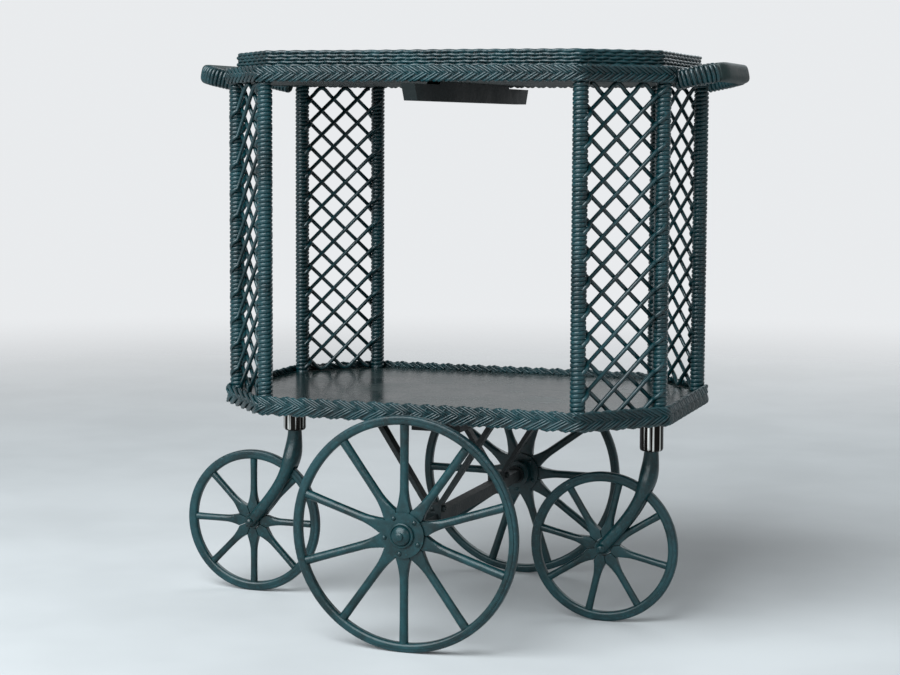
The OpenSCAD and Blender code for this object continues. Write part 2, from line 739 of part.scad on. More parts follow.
// Section at the share k of that line, with the half width w, moved on by the length on
function fork_ring(k, w, on = 0) = let (
    d = fork_way(k), c = fork_spot(k) + d * on, f = min(1, max(0, k - 0.05) / 0.23),
    t = neck_r + (fork_gap / 2 + prong_t - neck_r) * f * f * (3 - 2 * f)
) [for (p = oval(w, t, 0.5 * min(1, k / 0.4), 20)) [c[0] + d[1] * p[0], p[1], c[1] - d[0] * p[0]]];

// Fork: one forged piece, round at the neck, swollen at the crown and slotted for the wheel
module fork() {
    blade = 8.9;
    swell = 3.3;
    color(paint) difference() {
        union() {
            translate([0, 0, neck_z - 1]) cylinder(h = stem_l + 1, r = stem_r);
            loft(concat(
                [for (k = [0, 0.05, 0.1, 0.14, 0.18, 0.23, 0.29, 0.37, 0.47, 0.58, 0.71, 0.85, 1])
                    fork_ring(k, blade + swell * exp(-pow((k - 0.18) / 0.15, 2)))],
                [for (a = [25, 50, 70]) fork_ring(1, blade * cos(a), blade * sin(a))]));
        }
        translate([fork_tip[0], -fork_gap / 2, fork_tip[1]]) rotate([-90, 0, 0])
            cylinder(h = fork_gap, r = caster_r + 4, $fn = 96);
        translate([fork_tip[0], -60, fork_tip[1]]) rotate([-90, 0, 0])
            cylinder(h = 120, r = caster_bolt_r + bolt_gap / 2);
    }
}

module fork_bolt() {
    fork_w = fork_gap + 2 * prong_t;
    color(metal) translate([-caster_trail, 0, caster_r]) rotate([90, 0, 0]) {
        translate([0, 0, -fork_w / 2 - 6]) cylinder(h = fork_w + 6.1, r = caster_bolt_r);
        translate([0, 0, fork_w / 2 + 0.1]) dome(6, 4);
        difference() {
            translate([0, 0, -fork_w / 2 - 4.6]) cylinder(h = 4.5, r = 7.2, $fn = 6);
            translate([0, 0, -fork_w / 2 - 8]) cylinder(h = 10, r = caster_bolt_r - 0.5);
        }
    }
}

module stand_caster(s) {
    at_caster(s) translate([-caster_trail, 0, caster_r]) rotate([90, 0, 0]) children();
}

module caster_hub() {
    color(paint) translate([0, 0, -hub_half]) ring(caster_bolt_r + run_gap, caster_hub_r, 2 * hub_half);
}

module caster_spokes(turn) {
    color(paint) for (i = [0:caster_spokes_n - 1]) rotate([0, 0, turn + i * 360 / caster_spokes_n])
        spoke(caster_spokes_n, caster_hub_r + 0.6, 21, 45, caster_rim_in - 0.3, 11, caster_spoke_r);
}

module caster_rim_part() {
    color(paint) rim_ring(caster_rim_in, caster_r - caster_tyre[0] - 0.1, caster_rim[1]);
}

module caster_tyre_part() {
    color(tyre_paint) tyre_ring(caster_r - caster_tyre[0], caster_r, caster_tyre[1]);
}

centred() top_board();
centred() lower_board();
centred() top_braid();
centred() lower_braid();
centred() gallery_rows();
centred() gallery_stakes();
centred() top_batten();
centred() batten_screws();
centred() post(0);  // post_near_left
centred() post(1);  // post_near_right
centred() post(2);  // post_right_near
centred() post(3);  // post_right_far
centred() post(4);  // post_far_right
centred() post(5);  // post_far_left
centred() post(6);  // post_left_far
centred() post(7);  // post_left_near
centred() lattice(1);  // lattice_near_right
centred() lattice(3);  // lattice_far_right
centred() lattice(5);  // lattice_far_left
centred() mirror([1, 0, 0]) lattice(1);  // lattice_near_left
centred() handle();  // handle_right
centred() mirror([1, 0, 0]) handle();  // handle_left
centred() long_rails();
centred() caster_rails();
centred() bolster();
centred() axle();
centred() hanger(-1);  // hanger_near
centred() hanger(1);  // hanger_far
centred() saddle_blocks();
centred() hanger_bolts();
centred() axle_washers();
centred() axle_nuts();
centred() at_caster(1) socket();  // socket_right
centred() at_caster(-1) socket();  // socket_left
centred() stand_near() wheel_hub();  // near_hub
centred() stand_near() wheel_plates();  // near_plates
centred() stand_near() wheel_plate_bolts();  // near_plate_bolts
centred() stand_near() wheel_cap();  // near_cap
centred() stand_near() wheel_spokes(90);  // near_spokes
centred() stand_near() wheel_rim_part();  // near_rim
centred() stand_near() wheel_tyre_part();  // near_tyre
centred() stand_far() wheel_hub();  // far_hub
centred() stand_far() wheel_plates();  // far_plates
centred() stand_far() wheel_plate_bolts();  // far_plate_bolts
centred() stand_far() wheel_cap();  // far_cap
centred() stand_far() wheel_spokes(0);  // far_spokes
centred() stand_far() wheel_rim_part();  // far_rim
centred() stand_far() wheel_tyre_part();  // far_tyre
centred() at_caster(1) fork();  // right_fork
centred() at_caster(1) fork_bolt();  // right_fork_bolt
centred() stand_caster(1) caster_hub();  // right_caster_hub
centred() stand_caster(1) caster_spokes(-13);  // right_caster_spokes
centred() stand_caster(1) caster_rim_part();  // right_caster_rim
centred() stand_caster(1) caster_tyre_part();  // right_caster_tyre
centred() at_caster(-1) fork();  // left_fork
centred() at_caster(-1) fork_bolt();  // left_fork_bolt
centred() stand_caster(-1) caster_hub();  // left_caster_hub
centred() stand_caster(-1) caster_spokes(0);  // left_caster_spokes
centred() stand_caster(-1) caster_rim_part();  // left_caster_rim
centred() stand_caster(-1) caster_tyre_part();  // left_caster_tyre
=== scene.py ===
"""Looks of a painted wicker tea cart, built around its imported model.

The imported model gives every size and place. This script adds the reed work (borders, gallery,
lattice, wrapped posts and handles), the turned wheel spokes and every paint and metal finish.
All lengths are in metres in Blender; sizes written here are in millimetres and pass through MM.
"""

import logging
import math
import random
from bisect import bisect_right
from contextlib import contextmanager
from dataclasses import dataclass
from enum import Enum
from typing import Callable, Iterator, Sequence

import bpy
from mathutils import Matrix, Vector

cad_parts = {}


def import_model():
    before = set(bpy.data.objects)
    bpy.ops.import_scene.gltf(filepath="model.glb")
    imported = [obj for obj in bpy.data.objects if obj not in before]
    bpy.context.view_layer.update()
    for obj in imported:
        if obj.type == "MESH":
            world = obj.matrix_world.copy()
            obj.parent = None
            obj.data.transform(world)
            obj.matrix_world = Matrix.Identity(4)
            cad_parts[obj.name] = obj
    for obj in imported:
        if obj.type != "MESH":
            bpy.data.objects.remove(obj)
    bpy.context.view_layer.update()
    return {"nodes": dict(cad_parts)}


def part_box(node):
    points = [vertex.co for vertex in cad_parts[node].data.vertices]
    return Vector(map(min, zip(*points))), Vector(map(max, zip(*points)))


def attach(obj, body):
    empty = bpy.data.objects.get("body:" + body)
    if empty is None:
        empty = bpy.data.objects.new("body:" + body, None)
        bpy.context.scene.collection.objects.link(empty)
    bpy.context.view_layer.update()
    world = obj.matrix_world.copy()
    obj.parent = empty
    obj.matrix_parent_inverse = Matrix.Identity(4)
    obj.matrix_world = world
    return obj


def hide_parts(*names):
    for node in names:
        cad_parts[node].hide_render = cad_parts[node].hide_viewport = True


LOG = logging.getLogger("tea_cart")
MM = 0.001
TURN = 2 * math.pi
SEED = 7
DOUBLE = 1e-6  # distance within which vertices are merged, in metres
TINY = 1e-9  # keeps a division by no distance at all finite
REED_SIDES = 8

Point = tuple[float, float]
Spot = tuple[float, float, float]  # along, outwards, height
Colour = tuple[float, float, float]


class Signal:
    """A shader value with arithmetic: each operation adds one Math node."""

    def __init__(self, recipe: "Recipe", source: "bpy.types.NodeSocket | float") -> None:
        """Wraps a socket or a plain number.

        Args:
            recipe: The material recipe whose tree takes the new nodes.
            source: The socket or number that holds the value.
        """
        self.recipe = recipe
        self.source = source

    def _join(self, operation: str, first: object, second: object) -> "Signal":
        """Adds a Math node.

        Args:
            operation: The Math node's operation.
            first: Its first value.
            second: Its second value.

        Returns:
            The node's result.
        """
        return self.recipe.node("ShaderNodeMath", {"operation": operation}, {0: first, 1: second})

    def __add__(self, other: object) -> "Signal":
        """Returns the sum."""
        return self._join("ADD", self, other)

    __radd__ = __add__

    def __mul__(self, other: object) -> "Signal":
        """Returns the product."""
        return self._join("MULTIPLY", self, other)

    __rmul__ = __mul__

    def window(self, low: float, high: float, to_low: float = 0.0, to_high: float = 1.0) -> "Signal":
        """Maps a range smoothly onto another.

        Args:
            low: Value that gives to_low.
            high: Value that gives to_high.
            to_low: Result at and below low.
            to_high: Result at and above high.

        Returns:
            The mapped value.
        """
        return self.recipe.node(
            "ShaderNodeMapRange", {"interpolation_type": "SMOOTHSTEP"},
            {"Value": self, "From Min": low, "From Max": high, "To Min": to_low, "To Max": to_high})


class Recipe:
    """The node tree of a new material or world, written as expressions."""

    def __init__(self, home: "bpy.types.Material | bpy.types.World") -> None:
        """Empties the tree.

        Args:
            home: The material or world.
        """
        home.use_nodes = True
        self.home = home
        self.tree = home.node_tree
        self.tree.nodes.clear()

    def node(self, kind: str, settings: dict | None = None, inputs: dict | None = None,
             output: int | str | None = 0) -> Signal:
        """Adds one node of any type.

        Args:
            kind: The node's type.
            settings: Properties to set first, such as a Math node's operation.
            inputs: Values, colours or signals by socket name or number.
            output: The output socket to hand back; None for a node that closes the tree.

        Returns:
            The chosen output as a signal.
        """
        made = self.tree.nodes.new(kind)
        for key, value in (settings or {}).items():
            setattr(made, key, value)
        for key, value in (inputs or {}).items():
            socket = made.inputs[key]
            source = value.source if isinstance(value, Signal) else value
            if isinstance(source, bpy.types.NodeSocket):
                self.tree.links.new(source, socket)
            elif socket.type == "RGBA":
                socket.default_value = (*source, 1.0)
            else:
                socket.default_value = source
        return Signal(self, 0.0 if output is None else made.outputs[output])

    def place(self, stretch: Sequence[float] = (1.0, 1.0, 1.0)) -> Signal:
        """Object coordinates, stretched.

        Args:
            stretch: Factor along each axis.

        Returns:
            The coordinates.
        """
        where = self.node("ShaderNodeTexCoord", output="Object")
        return self.node("ShaderNodeVectorMath", {"operation": "MULTIPLY"}, {0: where, 1: tuple(stretch)})

    def noise(self, where: Signal, scale: float, detail: float = 3.0, rough: float = 0.55) -> Signal:
        """Soft noise between about 0.25 and 0.75.

        Args:
            where: Coordinates.
            scale: Features per metre.
            detail: Octaves.
            rough: Weight of the finer octaves.

        Returns:
            The noise value.
        """
        return self.node("ShaderNodeTexNoise", {"noise_dimensions": "3D"},
                         {"Vector": where, "Scale": scale, "Detail": detail, "Roughness": rough}, "Fac")

    def mix(self, factor: Signal | float, low: object, high: object) -> Signal:
        """Mixes two colours.

        Args:
            factor: 0 gives low and 1 gives high.
            low: First colour.
            high: Second colour.

        Returns:
            The mixed colour.
        """
        return self.node("ShaderNodeMix", {"data_type": "RGBA"}, {0: factor, 6: low, 7: high}, 2)

    def finish(self, tone: object, roughness: object, sockets: dict, height: Signal | None = None,
               depth: float = 0.0) -> bpy.types.Material:
        """Closes the tree with one surface shader.

        Args:
            tone: Base colour.
            roughness: Roughness.
            sockets: Other plain socket values of the surface shader.
            height: Bump height, if any.
            depth: Bump depth in metres.

        Returns:
            The finished material.
        """
        inputs = {"Base Color": tone, "Roughness": roughness, **sockets}
        if height is not None:
            inputs["Normal"] = self.node("ShaderNodeBump", None,
                                         {"Strength": 1.0, "Distance": depth, "Height": height})
        surface = self.node("ShaderNodeBsdfPrincipled", None, inputs)
        self.node("ShaderNodeOutputMaterial", None, {"Surface": surface}, None)
        return self.home


def colour(red: int, green: int, blue: int) -> Colour:
    """Turns a display colour, 0 to 255, into the linear colour that the shaders use.

    Args:
        red: Red part.
        green: Green part.
        blue: Blue part.

    Returns:
        The linear colour.
    """
    def linear(part: int) -> float:
        """Returns one part on the linear scale."""
        share = part / 255
        return share / 12.92 if share <= 0.04045 else ((share + 0.055) / 1.055) ** 2.4
    return linear(red), linear(green), linear(blue)


class Grain(Enum):
    """Marks of the ground under a paint: noise scale, octaves, weight of fine ones, depth in metres."""

    REED = (330.0, 3.0, 0.6, 0.0005)
    BOARD = (1.0, 5.0, 0.6, 0.0011)
    TURNED = (95.0, 5.0, 0.6, 0.0007)
    CAST = (230.0, 3.0, 0.5, 0.0006)
    RUBBER = (160.0, 4.0, 0.6, 0.0008)


@dataclass(frozen=True)
class Paint:
    """Dark green paint over one kind of ground.

    Attributes:
        name: Material name.
        grain: The ground under the paint.
        deep: Display colour where paint lies thick or in hollows.
        light: Display colour where it is thin or rubbed.
        gloss: Roughness of the clean paint.
        coat: Weight of the clear gloss on top.
    """

    name: str
    grain: Grain
    deep: tuple[int, int, int]
    light: tuple[int, int, int]
    gloss: float
    coat: float = 0.0

    CLOUD, FLECK = 14.0, 420.0  # noise scales of thin patches and of rubbed flecks
    CLOUDS, FLECKS = (0.36, 0.66), (0.58, 0.7)  # noise values over which they come in
    RAISED, WORN = (0.3, 0.72), (0.35, 0.7)  # heights of marks over which colour and roughness change
    CLOUD_PART, MARK_PART, FLECK_PART = 0.55, 0.45, 0.35  # part of each in the colour
    CLOUD_DULLS, MARK_DULLS = 0.10, 0.06  # what each adds to the roughness
    BRIGHTER, PALER = 1.9, 0.01  # factor and then amount by which rubbed paint is lighter
    COAT_ROUGH, SHINE = 0.12, 0.38
    STREAK, RIPPLE = (6.0, 110.0, 110.0), (3.0, 22.0, 22.0)  # stretch of a board's grain and of its waves
    STREAK_PART, RIPPLE_PART = 0.6, 0.7  # part of each in a board's marks

    def make(self) -> bpy.types.Material:
        """Builds the material.

        Returns:
            The painted material.
        """
        recipe = Recipe(bpy.data.materials.new(self.name))
        where = recipe.place()
        cloud = recipe.noise(where, self.CLOUD, 4.0).window(*self.CLOUDS)
        fleck = recipe.noise(where, self.FLECK, 2.0).window(*self.FLECKS)
        marks, depth = self.marks(recipe, where)
        thin = colour(*self.light)
        bare = tuple(min(1.0, self.BRIGHTER * part + self.PALER) for part in thin)
        share = cloud * self.CLOUD_PART + marks.window(*self.RAISED) * self.MARK_PART
        shade = recipe.mix(share, colour(*self.deep), thin)
        rubbed = recipe.mix(fleck * self.FLECK_PART, shade, bare)
        rough = self.gloss + cloud * self.CLOUD_DULLS + marks.window(*self.WORN) * self.MARK_DULLS
        sockets = {"Coat Weight": self.coat, "Coat Roughness": self.COAT_ROUGH,
                   "Specular IOR Level": self.SHINE}
        return recipe.finish(rubbed, rough, sockets, marks, depth)

    def marks(self, recipe: Recipe, where: Signal) -> tuple[Signal, float]:
        """The ground's own pattern.

        Args:
            recipe: The material being built.
            where: Object coordinates.

        Returns:
            The pattern's height and its depth in metres.
        """
        scale, detail, rough, depth = self.grain.value
        if self.grain is not Grain.BOARD:
            return recipe.noise(where, scale, detail, rough), depth
        streaks = recipe.noise(recipe.place(self.STREAK), scale, detail, rough)
        ripple = recipe.noise(recipe.place(self.RIPPLE), 1.0, 2.0)
        return streaks * self.STREAK_PART + ripple * self.RIPPLE_PART, depth


@dataclass(frozen=True)
class Metal:
    """Bare metal.

    Attributes:
        name: Material name.
        tone: Metal colour.
        tarnish_and_reflection: Colour of the tarnish spots, and of the painted dark reflections in the
            up-and-down streaks.
        gloss: Roughness where it is clean.
        drawn_and_reflected_streaks: Whether the marks run up and down, as marks from drawing the metal
            together with painted dark reflection streaks.
    """

    name: str
    tone: Colour
    tarnish_and_reflection: Colour
    gloss: float
    drawn_and_reflected_streaks: bool = False

    DRAW, FINE = (210.0, 210.0, 4.0), (260.0, 260.0, 20.0)  # stretch of the up-and-down streaks, which are drawing marks with painted reflections, and of fine marks
    DRAWN_AT, SPOTS_AT = (0.35, 0.45), (0.48, 0.72)  # noise values over which the painted dark reflection streaks and the tarnish spots come in
    SPOT = 60.0  # noise scale of spots
    SPOT_PART = 0.6  # part of spots in the colour
    DULLS = 0.18  # what the streaks and tarnish spots add to the roughness
    DEPTH = 0.0002  # depth of the fine marks, in metres

    def make(self) -> bpy.types.Material:
        """Builds the material.

        Returns:
            The metal material.
        """
        recipe = Recipe(bpy.data.materials.new(self.name))
        # Painted reflection: on streaked metal the dark streaks stand in for reflections as well as drawing
        # marks; other metal gets tarnish spots.
        if self.drawn_and_reflected_streaks:
            tarnish_and_reflection_mask = recipe.noise(recipe.place(self.DRAW), 1.0, 1.0).window(*self.DRAWN_AT)
            shade = recipe.mix(tarnish_and_reflection_mask, self.tone, self.tarnish_and_reflection)
        else:
            tarnish_and_reflection_mask = recipe.noise(recipe.place(), self.SPOT, 4.0).window(*self.SPOTS_AT)
            shade = recipe.mix(tarnish_and_reflection_mask * self.SPOT_PART, self.tone, self.tarnish_and_reflection)
        rough = self.gloss + tarnish_and_reflection_mask * self.DULLS
        fine = recipe.noise(recipe.place(self.FINE), 1.0, 2.0)
        return recipe.finish(shade, rough, {"Metallic": 1.0}, fine, self.DEPTH)


class Finishes:
    """All the finishes of the cart, by use."""

    def __init__(self) -> None:
        """Builds each material once."""
        self.reed = Paint("green_paint_on_reed", Grain.REED, (0, 18, 21), (1, 54, 60), 0.29, 0.28).make()
        self.board = Paint("gloss_paint_on_board", Grain.BOARD, (5, 20, 20), (20, 38, 38), 0.14, 0.3).make()
        # Painted shade: the upper board's paint is darker than the lower board's, for the shade under the top
        # tray; it is rougher too.
        self.underside = Paint("dull_paint_with_painted_shade_on_board", Grain.BOARD, (4, 18, 18), (12, 32, 32), 0.55).make()
        # Painted shade: a very dark green for the batten, rails and bolsters, which stand in the shade under
        # the trays.
        self.batten = Paint("shade_darkened_paint_on_batten", Grain.BOARD, (2, 11, 12), (6, 20, 21), 0.50).make()
        self.turned = Paint("green_paint_on_wheels", Grain.TURNED, (0, 23, 25), (1, 54, 59), 0.3, 0.1).make()
        self.cast = Paint("green_paint_on_iron", Grain.CAST, (0, 23, 25), (0, 54, 59), 0.28, 0.1).make()
        self.bar = Paint("worn_paint_on_handles", Grain.CAST, (3, 20, 20), (12, 40, 39), 0.50).make()
        # Painted shade: a very dark paint for the axle, hangers and saddles, which stand in the shade under
        # the shelf.
        self.shade_dark = Paint("shade_darkened_paint_on_iron", Grain.CAST, (2, 10, 11), (6, 22, 24), 0.42).make()
        self.tyre = Paint("green_paint_on_tyres", Grain.RUBBER, (1, 24, 27), (5, 55, 61), 0.36, 0.05).make()
        # Painted reflection: very dark streaks up and down the polished metal of the sockets.
        self.polished = Metal("polished_socket_metal", (0.66, 0.65, 0.62), (0.012, 0.011, 0.01), 0.07,
                              drawn_and_reflected_streaks=True).make()
        self.dull = Metal("dull_fastener_metal", (0.30, 0.31, 0.31), (0.05, 0.08, 0.08), 0.30).make()


def deselect() -> None:
    """Leaves edit mode and selects nothing."""
    if bpy.context.mode != "OBJECT":
        bpy.ops.object.mode_set(mode="OBJECT")
    bpy.ops.object.select_all(action="DESELECT")


def pick(*objects: bpy.types.Object) -> None:
    """Selects these objects only, the first one active.

    Args:
        objects: What to select.
    """
    deselect()
    for item in objects:
        item.select_set(True)
    bpy.context.view_layer.objects.active = objects[0]


@contextmanager
def editing(piece: bpy.types.Object) -> Iterator[None]:
    """Works on one piece in edit mode, all of its mesh selected.

    Args:
        piece: The piece.

    Yields:
        Nothing; edit mode ends with the block.
    """
    pick(piece)
    bpy.ops.object.mode_set(mode="EDIT")
    bpy.ops.mesh.select_all(action="SELECT")
    yield
    bpy.ops.object.mode_set(mode="OBJECT")


def modify(piece: bpy.types.Object, kind: str, **settings: object) -> None:
    """Adds one modifier and applies it.

    Args:
        piece: The piece.
        kind: The modifier's type.
        settings: Its properties.
    """
    modifier = piece.modifiers.new(kind.lower(), kind)
    for key, value in settings.items():
        setattr(modifier, key, value)
    pick(piece)
    bpy.ops.object.modifier_apply(modifier=modifier.name)


def join(*pieces: bpy.types.Object) -> bpy.types.Object:
    """Joins pieces into the first of them.

    Args:
        pieces: Two or more pieces.

    Returns:
        The joined piece.
    """
    pick(*pieces)
    bpy.ops.object.join()
    return pieces[0]


def twin_of(model: bpy.types.Object, place: Matrix) -> bpy.types.Object:
    """Copies a piece with its own mesh, to a new place.

    Args:
        model: The piece.
        place: Where the copy goes.

    Returns:
        The copy.
    """
    twin = model.copy()
    twin.data = model.data.copy()
    twin.data.transform(place)
    bpy.context.scene.collection.objects.link(twin)
    return twin


def tidy_shell(piece: bpy.types.Object, angle: float = 50.0) -> bpy.types.Object:
    """Merges doubles, turns faces outwards and shades smoothly up to an angle.

    Args:
        piece: The piece.
        angle: Edges sharper than this stay crisp, in degrees.

    Returns:
        The same piece.
    """
    with editing(piece):
        bpy.ops.mesh.remove_doubles(threshold=DOUBLE)
        bpy.ops.mesh.normals_make_consistent(inside=False)
    pick(piece)
    bpy.ops.object.shade_smooth_by_angle(angle=math.radians(angle))
    return piece


def hand_in(piece: bpy.types.Object, name: str, material: bpy.types.Material, node: str,
            body: str = "cart") -> None:
    """Names and dresses a finished piece, with its place in its mesh, hangs it on its body and hides the CAD
    node that it stands for.

    Args:
        piece: The piece.
        name: Its name.
        material: Its finish.
        node: The CAD node that it stands for.
        body: The body that it moves with.
    """
    pick(piece)
    bpy.ops.object.transform_apply(location=True, rotation=True, scale=True)
    piece.name = name
    piece.data.name = name
    piece.data.materials.clear()
    piece.data.materials.append(material)
    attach(piece, body)
    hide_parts(node)
    LOG.info("%s: %d faces on %s", name, len(piece.data.polygons), body)


def reeds(name: str, paths: Sequence[Sequence[Vector]], radius: float, sides: int,
          closed: bool = False) -> bpy.types.Object:
    """Lays round reeds along paths, as one mesh.

    Args:
        name: Name of the new object.
        paths: Points of each reed, in metres.
        radius: Radius of a reed, in metres.
        sides: Sides of a reed's section, an even number.
        closed: Whether each reed joins its own start.

    Returns:
        The mesh object.
    """
    line = bpy.data.curves.new(name, "CURVE")
    line.dimensions = "3D"
    line.bevel_depth = radius
    line.bevel_resolution = (sides - 4) // 2
    line.use_fill_caps = True
    for path in paths:
        spline = line.splines.new("POLY")
        spline.points.add(len(path) - 1)
        spline.points.foreach_set("co", [part for point in path for part in (*point, 1.0)])
        spline.use_cyclic_u = closed
    piece = bpy.data.objects.new(name, line)
    bpy.context.scene.collection.objects.link(piece)
    pick(piece)
    bpy.ops.object.convert(target="MESH")
    bpy.ops.object.shade_smooth()
    return piece


@dataclass(frozen=True)
class Section:
    """One ring of a lofted bar: an ellipse, or a rectangle with round corners.

    Attributes:
        centre: Middle of the ring.
        across: Half width, with its direction.
        up: Half height, with its direction.
        square: 2 for an ellipse; higher values come closer to a rectangle.
    """

    centre: Vector
    across: Vector
    up: Vector
    square: float = 2.0

    def at(self, angle: float) -> Vector:
        """Finds a point of the ring.

        Args:
            angle: Angle round the ring, from across towards up.

        Returns:
            The point.
        """
        part, rise = math.cos(angle), math.sin(angle)
        reach = (abs(part) ** self.square + abs(rise) ** self.square) ** (-1 / self.square)
        return self.centre + self.across * (part * reach) + self.up * (rise * reach)


def loft(name: str, sides: int, sections: Sequence[Section], angle: float = 50.0) -> bpy.types.Object:
    """Extrudes a disc ring by ring and moves each ring to its section.

    Args:
        name: Name of the new object.
        sides: Points in a ring.
        sections: The rings in order.
        angle: Edges sharper than this stay crisp, in degrees.

    Returns:
        The closed bar.
    """
    deselect()
    bpy.ops.mesh.primitive_circle_add(vertices=sides, radius=1.0, fill_type="NGON")
    piece = bpy.context.object
    piece.name = name
    with editing(piece):
        for _ in sections[1:]:
            bpy.ops.mesh.extrude_region_move(TRANSFORM_OT_translate={"value": (0, 0, 1)})
    for vertex in piece.data.vertices:
        vertex.co = sections[round(vertex.co.z)].at(math.atan2(vertex.co.y, vertex.co.x))
    return tidy_shell(piece, angle)


@dataclass(frozen=True)
class Layout:
    """Places that several sub-assemblies share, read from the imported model.

    Attributes:
        centre_x: X of the middle of the trays.
        post_radius: Radius of a post over its wrapping.
        posts: Post centres, counter-clockwise from the near left one.
        shelf_z: Upper face of the lower board.
        under_z: Underside of the upper board.
        tray_z: Upper face of the upper board.
    """

    centre_x: float
    post_radius: float
    posts: tuple[Point, ...]
    shelf_z: float
    under_z: float
    tray_z: float

    ORDER = ("near_left", "near_right", "right_near", "right_far",
             "far_right", "far_left", "left_far", "left_near")

    def outer(self, corner: Vector) -> float:
        """Returns the distance from the posts' octagon to a box corner on the far side."""
        return corner.y - self.posts[self.ORDER.index("far_right")][1]

    @staticmethod
    def read() -> "Layout":
        """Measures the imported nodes.

        Returns:
            The layout.
        """
        centres = []
        for name in Layout.ORDER:
            low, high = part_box("post_" + name)
            centres.append(((low.x + high.x) / 2, (low.y + high.y) / 2))
        low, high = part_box("post_near_left")
        lower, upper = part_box("lower_board"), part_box("top_board")
        return Layout((lower[0].x + lower[1].x) / 2, (high.x - low.x) / 2, tuple(centres),
                      lower[1].z, upper[0].z, upper[1].z)


class Ring:
    """A closed line round the trays, parallel to the octagon of the posts."""

    ARC_STEPS = 8

    def __init__(self, layout: Layout, offset: float, radius: float) -> None:
        """Lays out the line.

        Args:
            layout: The cart's layout.
            offset: Distance outwards from the octagon through the post centres.
            radius: Corner radius.
        """
        corners = [Vector(p) for p in layout.posts]
        count = len(corners)
        ways = [(corners[(i + 1) % count] - corners[i]).normalized() for i in range(count)]
        outs = [Vector((way.y, -way.x)) for way in ways]
        self.ways: list[float] = []
        self.spots: list[tuple[Vector, Vector]] = []
        length = 0.0
        for index in range(count):
            before, after = outs[index - 1], outs[index]
            half = before.angle(after) / 2
            middle = (before + after).normalized()
            centre = corners[index] + middle * ((offset - radius) / math.cos(half))
            for step in range(self.ARC_STEPS + 1):
                normal = before.slerp(after, step / self.ARC_STEPS)
                spot = centre + normal * radius
                if self.spots:
                    length += (spot - self.spots[-1][0]).length
                self.ways.append(length)
                self.spots.append((spot, normal))
        self.length = length + (self.spots[0][0] - self.spots[-1][0]).length
        self.ways.append(self.length)
        self.spots.append(self.spots[0])

    def at(self, way: float) -> tuple[Vector, Vector]:
        """Finds a spot on the line.

        Args:
            way: Distance along the line; it may pass the end.

        Returns:
            The spot and the outward normal, both in plan.
        """
        way %= self.length
        low = min(bisect_right(self.ways, way), len(self.ways) - 1) - 1
        before, after = self.spots[low], self.spots[low + 1]
        share = (way - self.ways[low]) / max(self.ways[low + 1] - self.ways[low], TINY)
        normal = (before[1] * (1 - share) + after[1] * share).normalized()
        return before[0].lerp(after[0], share), normal


@dataclass(frozen=True)
class Plait:
    """A plaited edge: groups of reeds that come over both edges and dive under each other.

    All sizes are in millimetres.

    Attributes:
        height: Height over the outermost reeds.
        group: Reeds that lie side by side.
        reed: Thickness of a reed.
        arm: Distance from one group to the next.
        slope: Rise over run of the reeds.
        gap: Distance along the edge from one reed of a group to the next.
        relief: How far the reeds swing in and out.
        scallop: How much less the outermost reeds of a group reach over the edge.
        behind: How far the reeds run on behind the upper edge.
    """

    height: float
    group: int
    reed: float
    arm: float
    slope: float
    gap: float
    relief: float
    scallop: float
    behind: float

    STEP = 2.15  # from one point of a reed to the next
    EDGE = 1.9  # radius of the bend over an edge
    PAST = 6.5  # how far a reed runs on below its dive
    UNDER = 4.0  # how far a reed runs on behind the lower edge
    LEAN = 0.09  # how far a group's reeds lean over each other
    STEEP = 0.7  # least depth in which a reed dives
    STRAY = 0.25  # how far a reed may lie off its place

    def reed_path(self, ring: Ring, base: float, place: float, hand: int, middle_z: float) -> list[Vector]:
        """Works out one reed, from behind the edge to its dive past the middle.

        Args:
            ring: Line along the middle of the plait.
            base: Where the reed crosses the middle, in metres along the ring.
            place: The reed's place in its group, in millimetres along the ring.
            hand: 1 for a reed over the upper edge and -1 for one over the lower edge.
            middle_z: Height of the plait's middle, in metres.

        Returns:
            The reed's points.
        """
        outermost = (self.group - 1) / 2 * self.gap
        top = (self.height - self.reed) / 2 - self.scallop * (place / outermost) ** 2
        edge = -top / self.slope - self.EDGE
        dive = -self.slope * place / 2
        sharp = self.slope * (self.arm / 2 - self.gap) / 2
        behind = self.behind if hand > 0 else self.UNDER
        span = behind - edge + self.PAST
        count = round(span / self.STEP)
        path = []
        for step in range(count):
            run = -behind + span * step / (count - 1)
            fall = self.slope * (math.hypot(run, self.EDGE) - self.EDGE)
            sunk = math.tanh((fall - top - dive) / max(self.STEEP, sharp))
            side = math.tanh(run / self.EDGE) * -sunk + self.LEAN * place
            spot, normal = ring.at(base + (place + edge + run) * MM)
            flat = spot + normal * (self.relief * side * MM)
            path.append(Vector((*flat, middle_z + hand * (top - fall) * MM)))
        return path

    def lay(self, ring: Ring, middle_z: float) -> list[list[Vector]]:
        """Works out all reeds of the edge.

        Args:
            ring: Line along the middle of the plait.
            middle_z: Height of the plait's middle, in metres.

        Returns:
            One open path for each reed.
        """
        count = round(ring.length / (self.arm * MM))
        uneven = random.Random(SEED)
        paths = []
        for index in range(count):
            for hand in (1, -1):
                base = ring.length * (index + (0.5 if hand < 0 else 0.0)) / count
                for reed in range(self.group):
                    place = (reed - (self.group - 1) / 2) * self.gap + uneven.uniform(-self.STRAY, self.STRAY)
                    paths.append(self.reed_path(ring, base, place, hand, middle_z))
        return paths


@dataclass
class Assembly:
    """A sub-assembly of the cart.

    Attributes:
        layout: Places that it shares with the others.
        finishes: The cart's finishes.
    """

    layout: Layout
    finishes: Finishes


